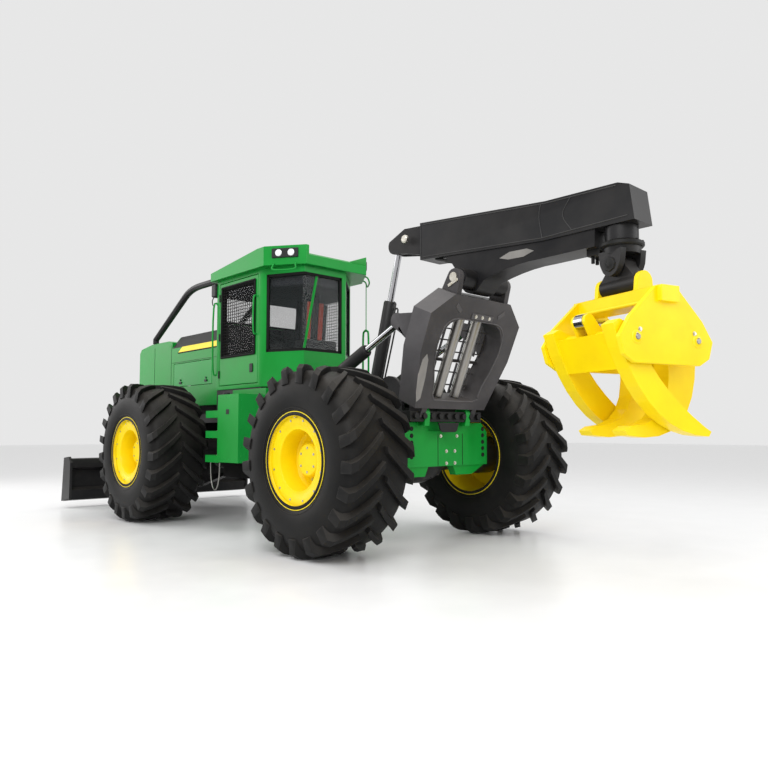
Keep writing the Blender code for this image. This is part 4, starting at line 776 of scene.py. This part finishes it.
SEAT_Y = CAB_FRONT + 0.82
cushion("seat_cushion", (0.48, 0.50, 0.11), (0.0, SEAT_Y - 0.02, 2.15), math.radians(3), SEAT_CLOTH)
cushion("seat_backrest", (0.46, 0.66, 0.10), (0.0, SEAT_Y + 0.315, 2.55), math.radians(83), SEAT_CLOTH)
cushion("seat_headrest", (0.26, 0.17, 0.08), (0.0, SEAT_Y + 0.345, 2.905), math.radians(83), SEAT_CLOTH, 0.015)
stand = Shape()
stand.block((-0.17, SEAT_Y - 0.16, 1.806), (0.17, SEAT_Y + 0.14, 1.86))
stand.block((-0.11, SEAT_Y - 0.11, 1.85), (0.11, SEAT_Y + 0.10, 2.02))
stand.block((-0.21, SEAT_Y - 0.22, 2.02), (0.21, SEAT_Y + 0.20, 2.09))
for z in (1.90, 1.945, 1.99):
    stand.block((-0.13, SEAT_Y - 0.13, z), (0.13, SEAT_Y + 0.12, z + 0.018))
stand.done("seat_stand", PLASTIC, "front_body", bevel=0.008, replaces=("seat",))
shell = Shape()
shell.plate([(SEAT_Y + 0.355, 2.22), (SEAT_Y + 0.405, 2.85), (SEAT_Y + 0.425, 2.85), (SEAT_Y + 0.375, 2.20)], "x",
            -0.20, 0.20)
shell.done("seat_back_shell", PLASTIC, "front_body", bevel=0.008)
straps = Shape()
for x in (0.095, -0.095):
    straps.plate([(SEAT_Y + 0.376, 2.19), (SEAT_Y + 0.428, 2.86), (SEAT_Y + 0.436, 2.86), (SEAT_Y + 0.384, 2.19)], "x",
                 x - 0.035, x + 0.035)
    straps.plate([(SEAT_Y + 0.215, 2.24), (SEAT_Y + 0.265, 2.84), (SEAT_Y + 0.272, 2.84), (SEAT_Y + 0.223, 2.24)], "x",
                 x - 0.035, x + 0.035)
straps.done("seat_red_strips", SEAT_RED, "front_body", bevel=0.003)
chest = Shape()
chest.block((-0.10, SEAT_Y + 0.47, 1.81), (0.36, CAB_REAR - 0.075, 2.33))
chest.done("rear_cab_box", PLASTIC, "front_body", bevel=0.015)
controls = Shape()
for side, sign in SIDES:
    low, high = sorted((sign * 0.26, sign * 0.37))
    controls.block((low, SEAT_Y - 0.22, 2.10), (high, SEAT_Y + 0.22, 2.33))
    x, y = sign * 0.315, SEAT_Y - 0.16
    controls.bar((x, y, 2.32), (x, y - 0.01, 2.40), 0.012, 10)
    controls.bar((x, y - 0.01, 2.39), (x, y - 0.025, 2.49), 0.024, 12, 0.018)
    controls.ball((x, y - 0.027, 2.50), 0.024)
controls.bar((0.0, CAB_FRONT + 0.23, 2.30), (0.0, CAB_FRONT + 0.34, 2.42), 0.025, 12)
controls.done("arm_consoles", PLASTIC, "front_body", bevel=0.006)
wheel = Shape()
hub_at = Vector((0.0, CAB_FRONT + 0.35, 2.43))
wheel_axis = Vector((0, 0.66, 0.75)).normalized()
rim_points = []
side_axis = Vector((1, 0, 0))
other_axis = wheel_axis.cross(side_axis)
for i in range(25):
    a = 2 * math.pi * i / 24
    rim_points.append(hub_at + (side_axis * math.cos(a) + other_axis * math.sin(a)) * 0.17)
wheel.tube(rim_points, 0.014, 8, 2)
for a in (0.5, 2.6, 4.7):
    wheel.bar(hub_at, hub_at + (side_axis * math.cos(a) + other_axis * math.sin(a)) * 0.17, 0.010, 8)
wheel.bar(hub_at - wheel_axis * 0.02, hub_at + wheel_axis * 0.015, 0.04, 16)
wheel.done("steering_wheel", PLASTIC, "front_body")
monitor = Shape()
monitor.block((-0.42, CAB_FRONT + 0.16, 2.50), (-0.24, CAB_FRONT + 0.19, 2.64))
monitor.bar((-0.33, CAB_FRONT + 0.175, 2.30), (-0.33, CAB_FRONT + 0.175, 2.51), 0.012, 8)
monitor.done("monitor", PLASTIC, "front_body", bevel=0.006)
# ---------------------------------------------------------------- arch, winch rope and rear plate

ARCH_PIVOT = Vector(joint["arch_tilt"]["pos_m"])
LEAN = math.radians(22.8)
ARCH = Matrix.Translation(ARCH_PIVOT) @ Matrix.Rotation(-LEAN, 4, "X")
ARCH_BACK = 0.087


def arch_point(x, y, z):
    return ARCH @ Vector((x, y, z))


slats = Shape()
for i in range(7):
    x = -0.33 + i * 0.11
    for z0, z1 in ((0.215, 0.545), (0.575, 1.03)):
        edge = 0.0 if abs(x) < 0.25 else (0.04 if z0 < 0.5 else 0.06)
        corners = [(x - 0.006, -0.125), (x + 0.006, -0.125), (x + 0.006, -0.100), (x - 0.006, -0.100)]
        slats.plate([(u, v) for u, v in corners], "z", z0 + edge, z1 - edge, ARCH)
for z in (0.30, 0.44, 0.66, 0.78, 0.90):
    slats.bar(arch_point(-0.44, -0.115, z), arch_point(0.44, -0.115, z), 0.008, 8)
slats.done("arch_guard_bars", CHARCOAL, "arch_body", bevel=0.002)

lip = Shape()
opening = [(0.30, 0.19), (0.355, 0.26), (0.37, 0.36), (0.43, 0.52), (0.475, 0.70), (0.478, 0.82), (0.455, 0.95),
           (0.37, 1.03), (0.22, 1.05)]
ring = opening + [(-x, z) for x, z in reversed(opening)]
lip.tube([arch_point(x, ARCH_BACK + 0.001, z) for x, z in ring + ring[:1]], 0.007, 6, 2)
lip.done("arch_opening_lip", CHARCOAL, "arch_body")

fittings = Shape()
fittings.plate([(0.116, 1.065), (0.116, 1.125), (-0.21, 1.125), (-0.21, 1.065)], "y", ARCH_BACK - 0.002,
               ARCH_BACK + 0.012, ARCH)
for sign in (1, -1):
    fittings.plate([(sign * 0.30, 1.10), (sign * 0.38, 1.16), (sign * 0.36, 1.20), (sign * 0.28, 1.14)][::sign], "y",
                   ARCH_BACK - 0.002, ARCH_BACK + 0.006, ARCH)
fittings.done("arch_plates", CHARCOAL, "arch_body", bevel=0.003)
caps = Shape()
boom_pin = Vector(joint["boom_lift"]["pos_m"])
for x in (0.06, -0.04, -0.15):
    caps.bolt(arch_point(x, ARCH_BACK + 0.011, 1.095), ARCH.to_3x3() @ Vector((0, 1, 0)), 0.013, 0.010)
for sign in (1, -1):
    face = sign * 0.401
    caps.bar((sign * 0.38, boom_pin.y, boom_pin.z), (sign * 0.412, boom_pin.y, boom_pin.z), 0.045, 24)
    for a in (0.035, -0.035):
        caps.bolt((face + sign * 0.006, boom_pin.y + a, boom_pin.z - 0.055 + a * 0.4), (sign, 0, 0), 0.012, 0.010)
caps.done("arch_pin_bolts", ZINC, "arch_body")
locks = Shape()
for sign in (1, -1):
    low, high = sorted((sign * 0.400, sign * 0.408))
    locks.plate([(boom_pin.y - 0.065, boom_pin.z - 0.095), (boom_pin.y + 0.06, boom_pin.z - 0.045),
                 (boom_pin.y + 0.05, boom_pin.z - 0.015), (boom_pin.y - 0.075, boom_pin.z - 0.065)], "x", low, high)
locks.done("boom_pin_lock_plates", ZINC, "arch_body", bevel=0.002)

worn = Shape()
patch = [(0.500, 0.20), (0.545, 0.16), (0.585, 0.26), (0.628, 0.44), (0.625, 0.60), (0.585, 0.66), (0.545, 0.60),
         (0.515, 0.42)]
worn.plate(patch, "y", ARCH_BACK - 0.001, ARCH_BACK + 0.0012, ARCH)
worn.done("arch_worn_patch", STEEL, "arch_body")

drum = middle("winch_drum")
wrap = Shape()
turns = 13
for i in range(turns):
    x = drum.x - 0.145 + i * 0.29 / (turns - 1)
    wrap.turn([(0.131 + 0.011 * math.cos(a), 0.011 * math.sin(a)) for a in (2 * math.pi * k / 6 for k in range(6))],
              (x, drum.y, drum.z), (1, 0, 0), 40, closed=True)
wrap.done("winch_rope_layer", STEEL, "drum_body")

plate_low, plate_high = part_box("rear_frame")
BACK = plate_high[1]
hitch_and_notch_shade = Shape()
# The black U-shaped plate flush with the top of the rear plate is painted shade for the notch there; the beam and the
# round stubs above it are parts of the hitch.
hitch_and_notch_shade.plate([(0.16, 1.283), (0.13, 1.205), (0.10, 1.185), (-0.10, 1.185), (-0.13, 1.205), (-0.16, 1.283)][::-1], "y",
            BACK - 0.01, BACK + 0.004)
hitch_and_notch_shade.block((-0.55, BACK - 0.30, 1.292), (0.55, BACK - 0.02, 1.40))
for i in range(9):
    x = -0.48 + i * 0.12
    hitch_and_notch_shade.bar((x, BACK - 0.02, 1.35), (x, BACK + 0.012, 1.35), 0.032, 14)
hitch_and_notch_shade.done("rear_hitch_and_notch_shade", SATIN_BLACK, "rear_body", bevel=0.004)
studs = Shape()
for x, z in ((0.125, 1.145), (-0.125, 1.145), (0.04, 0.988), (-0.09, 0.988), (0.04, 0.863), (-0.09, 0.863)):
    studs.bolt((x, BACK - 0.001, z), (0, 1, 0), 0.013, 0.012)
studs.done("rear_plate_bolts", ZINC, "rear_body")
# Black discs with a thin rim, flush with the rear plate: painted shade where the plate's holes are.
hole_shade = Shape()
for z in (1.22, 1.15, 1.08, 1.01, 0.94):
    for x in (0.55, -0.55):
        hole_shade.turn([(0.0, 0.0), (0.016, 0.0), (0.021, 0.003), (0.024, 0.0), (0.024, -0.004), (0.0, -0.004)],
                   (x, BACK + 0.001, z), (0, 1, 0), 18)
hole_shade.done("rear_plate_hole_shade", SEAL, "rear_body")
seam = Shape()
for x in (0.165, -0.215):
    seam.block((x, BACK - 0.002, 0.84), (x + 0.005, BACK + 0.002, 1.17))
seam.done("rear_plate_seams", SEAL, "rear_body")

# ---------------------------------------------------------------- boom

BOOM_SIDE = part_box("boom")[1][0]
BEAM_SIDE = 0.155
weld = Shape()
REAR = REAR_AXLE
for sign in (1, -1):
    x = sign * (BEAM_SIDE + 0.0005)
    weld.tube([(x, REAR + 0.255, 3.41), (x, REAR + 0.26, 3.06)], 0.006, 6, 1)
    weld.tube([(x, REAR + 0.29, 3.055), (x, REAR + 1.80, 2.955), (x, REAR + 2.64, 2.98)], 0.006, 6, 1)
    weld.tube([(x, REAR + 0.29, 3.405), (x, REAR + 1.84, 3.268), (x, REAR + 2.54, 3.255)], 0.006, 6, 1)
    weld.tube([(x, REAR + 1.79, 3.27), (x, REAR + 1.77, 3.15), (x, REAR + 1.80, 2.96)], 0.005, 6, 3)
    weld.tube([(x, REAR + 2.10, 3.26), (x, REAR + 2.02, 3.12), (x, REAR + 2.11, 2.965)], 0.005, 6, 4)
weld.done("boom_welds", BLACK, "boom_body")
tail_pin = Shape()
tail_low, tail_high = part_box("boom_cylinder_rod")
for sign in (1, -1):
    x = sign * BEAM_SIDE
    tail_pin.turn([(0.0, 0.030), (0.030, 0.030), (0.036, 0.024), (0.044, 0.020), (0.048, 0.0), (0.0, 0.0)],
                  (x - sign * 0.01, REAR + 0.01, (tail_high[2] - 0.06)), (sign, 0, 0), 28)
    for a in range(6):
        angle = 2 * math.pi * a / 6
        tail_pin.bolt((x + sign * 0.012, REAR + 0.01 + 0.032 * math.cos(angle),
                       tail_high[2] - 0.06 + 0.032 * math.sin(angle)), (sign, 0, 0), 0.006, 0.008)
tail_pin.done("boom_tail_pin", ZINC, "boom_body")
block = Shape()
block.block((-0.09, REAR + 2.20, 2.72), (0.07, REAR + 2.33, 2.785))
block.bar((0.03, REAR + 2.24, 2.72), (0.03, REAR + 2.24, 2.66), 0.018, 6)
block.bar((-0.04, REAR + 2.24, 2.72), (-0.04, REAR + 2.24, 2.66), 0.018, 6)
block.done("boom_valve_block", SATIN_BLACK, "boom_body", bevel=0.004)
pads = Shape()
pads.plate([(REAR + 1.30, 2.86), (REAR + 1.42, 2.90), (REAR + 1.62, 2.895), (REAR + 1.70, 2.86), (REAR + 1.58, 2.825),
            (REAR + 1.40, 2.83)], "x", 0.139, 0.1425)
pads.done("boom_worn_patch", STEEL, "boom_body")
lines = Shape()
for k, x in enumerate((0.10, 0.06, -0.06, -0.10)):
    lines.tube([(x, REAR + 0.42, 3.02), (x, REAR + 0.72, 2.935), (x, REAR + 0.80, 2.90)], 0.012, 8, 4)
lines.done("boom_hose_ends", HOSE, "boom_body")

# ---------------------------------------------------------------- hoses that stay on one body

low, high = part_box("boom_cylinder_barrel")
top = Vector(((low[0] + high[0]) / 2, high[1] - 0.06, high[2] - 0.05))
bottom = Vector(((low[0] + high[0]) / 2, low[1] + 0.10, low[2] + 0.12))
radius = (high[0] - low[0]) / 2
pipe = Shape()
for offset, reach in ((0.020, 0.0), (-0.020, 0.06)):
    pipe.tube([(top.x + offset, top.y + 0.01, top.z - 0.03 - reach),
               (top.x + offset, top.y + radius + 0.012, top.z - 0.08 - reach),
               (bottom.x + offset, bottom.y + radius + 0.045, bottom.z + 0.12),
               (bottom.x + offset, bottom.y + 0.03, bottom.z + 0.02)], 0.010, 8, 5)
pipe.done("boom_cylinder_pipes", HOSE, "boom_cylinder_barrel_body")

# ---------------------------------------------------------------- grapple

TURN = Matrix.Translation((0.0, Vector(joint["rotator_turn"]["pos_m"]).y, 0.0)) @ Matrix.Rotation(
    math.radians(-16), 4, "Z")


def in_grapple(x, y, z):
    return TURN @ Vector((x, y, z))


HUB_FACE = 0.46
along = (TURN.to_3x3() @ Vector((0, 1, 0))).normalized()
for side, sign in SIDES:
    anchor = Vector(joint[f"tong_{side}_open"]["pos_m"])
    local = TURN.inverted() @ anchor
    bosses = Shape()
    bolts = Shape()
    low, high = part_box(f"tong_{side}")
    for end in (1, -1):
        face = end * HUB_FACE
        centre = in_grapple(local.x, face, local.z)
        bosses.turn([(0.0, 0.012), (0.030, 0.012), (0.036, 0.008), (0.05, 0.008), (0.055, 0.0), (0.0, -0.02)], centre,
                    along * end, 28)
        bolts.turn([(0.0, 0.020), (0.020, 0.020), (0.026, 0.012), (0.026, 0.0), (0.0, 0.0)], centre, along * end, 20)
    bosses.done(f"grapple_boss_{side}", YELLOW, "head_body")
    bolts.done(f"grapple_pin_end_{side}", STEEL, "head_body")
nuts = Shape()
for end in (1, -1):
    for x, z in ((0.30, 1.98), (0.34, 1.94), (-0.30, 1.98), (-0.34, 1.94)):
        nuts.bolt(in_grapple(x, end * HUB_FACE, z), along * end, 0.013, 0.012)
nuts.done("grapple_bolts", ZINC, "head_body")
ribs = Shape()
for x in (0.125, -0.125):
    ribs.bar(in_grapple(x, -0.42, 2.225), in_grapple(x, 0.42, 2.225), 0.012, 8)
ribs.done("grapple_ridge_welds", YELLOW, "head_body")
yoke_low, yoke_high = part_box("rotator_yoke")
motor = Shape()
axis_at = in_grapple(0, 0, 0)
motor.turn([(0.0, 0.0), (0.175, 0.0), (0.185, 0.012), (0.185, 0.035), (0.172, 0.045), (0.0, 0.045)],
           (0.0, axis_at.y, yoke_high[2] - 0.05), (0, 0, 1), 40)
for i in range(10):
    a = 2 * math.pi * i / 10
    motor.bolt((0.168 * math.cos(a), axis_at.y + 0.168 * math.sin(a), yoke_high[2] - 0.006), (0, 0, 1), 0.009, 0.008)
motor.done("rotator_flange", SATIN_BLACK, "yoke_body")

cross = Shape()
pitch = Vector(joint["grapple_pitch"]["pos_m"])
across = (TURN.to_3x3() @ Vector((1, 0, 0))).normalized()
for sign in (1, -1):
    cross.turn([(0.0, 0.018), (0.030, 0.018), (0.042, 0.010), (0.060, 0.010), (0.066, 0.0), (0.0, -0.01)],
               pitch + across * sign * 0.146, across * sign, 8)
cross.done("yoke_pin_caps", SATIN_BLACK, "yoke_body")

# ---------------------------------------------------------------- steps, cables, blade and axles

for side, sign in SIDES:
    box_low, box_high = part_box(f"step_box_{side}")
    outer = box_high[0] if sign > 0 else box_low[0]
    front = FRONT_AXLE + 1.53
    rivets = Shape()
    for z in (1.60, 0.86):
        for i in range(6):
            rivets.bolt((outer - sign * 0.001, front + 0.05 + i * 0.076, z), (sign, 0, 0), 0.006, 0.005)
    for i in range(7):
        rivets.bolt((outer - sign * 0.04, front + 0.479, 0.90 + i * 0.11), (0, 1, 0), 0.006, 0.005)
    rivets.done(f"step_rivets_{side}", GREEN, "front_body")
    cap = Shape()
    cap.turn([(0.0, 0.03), (0.035, 0.03), (0.042, 0.022), (0.044, 0.0), (0.0, 0.0)],
             (outer - sign * 0.06, front + 0.10, 1.638), (0, 0, 1), 24)
    cap.block((min(outer, outer + sign * 0.004), front + 0.20, 1.40), (max(outer, outer + sign * 0.004), front + 0.27,
                                                                     1.46))
    cap.done(f"step_box_cap_{side}", PLASTIC, "front_body", bevel=0.003)
    grips = Shape()
    for z in (0.90, 1.20, 1.45):
        for i in range(3):
            x = outer - sign * (0.09 + 0.10 * i)
            grips.turn([(0.0, 0.006), (0.014, 0.006), (0.022, 0.0), (0.0, 0.0)], (x, front - 0.14, z - 0.001),
                       (0, 0, 1), 12)
    for i in range(3):
        grips.turn([(0.0, 0.005), (0.010, 0.004), (0.012, 0.0), (0.0, 0.0)],
                   (outer - sign * (0.10 + 0.05 * i), front - 0.292, 0.855), (0, -1, 0), 12)
    grips.done(f"tread_studs_{side}", ZINC, "front_body")

    start = Vector((sign * 1.07, front - 0.24, 0.812))
    end = Vector((sign * 1.07, front - 0.02, 0.812))
    route = []
    for i in range(33):
        angle = math.pi * i / 32
        route.append(start.lerp(end, (1 - math.cos(angle)) / 2) - Vector((0, 0, 0.34 * math.sin(angle) ** 0.8)))
    rope = Shape()
    rope.tube(route, 0.0085, 10, 1)
    rope_piece = rope.done(f"step_wire_{side}", STEEL, "front_body", replaces=(f"step_cable_{side}",))

blade_low, blade_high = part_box("blade")
edge = Shape()
edge.block((blade_low[0] + 0.02, blade_low[1] - 0.0, blade_low[2] + 0.0), (blade_high[0] - 0.02, blade_low[1] + 0.03,
                                                                           blade_low[2] + 0.16))
edge.done("blade_cutting_edge", STEEL, "blade_body", bevel=0.004)
edge_bolts = Shape()
count = 14
for i in range(count):
    x = blade_low[0] + 0.12 + i * (blade_high[0] - blade_low[0] - 0.24) / (count - 1)
    edge_bolts.bolt((x, blade_low[1] + 0.001, blade_low[2] + 0.11), (0, -1, 0), 0.016, 0.004)
edge_bolts.done("blade_edge_bolts", ZINC, "blade_body")
for name, body in (("front_axle", "front_axle_body"), ("rear_axle", "rear_body")):
    centre = middle(name)
    cover = Shape()
    for direction in (1, -1):
        cover.turn([(0.0, 0.34), (0.10, 0.335), (0.19, 0.29), (0.23, 0.22), (0.24, 0.10), (0.0, 0.10)],
                   (0.0, centre.y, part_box(f"tyre_{'front' if 'front' in name else 'rear'}_left")[1][2] / 2),
                   (0, direction, 0), 36)
        for i in range(12):
            a = 2 * math.pi * i / 12
            cover.bolt((0.21 * math.cos(a), centre.y + direction * 0.245,
                        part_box("tyre_front_left")[1][2] / 2 + 0.21 * math.sin(a)), (0, direction, 0), 0.012, 0.014)
    cover.done(f"{name}_covers", BLACK, body)
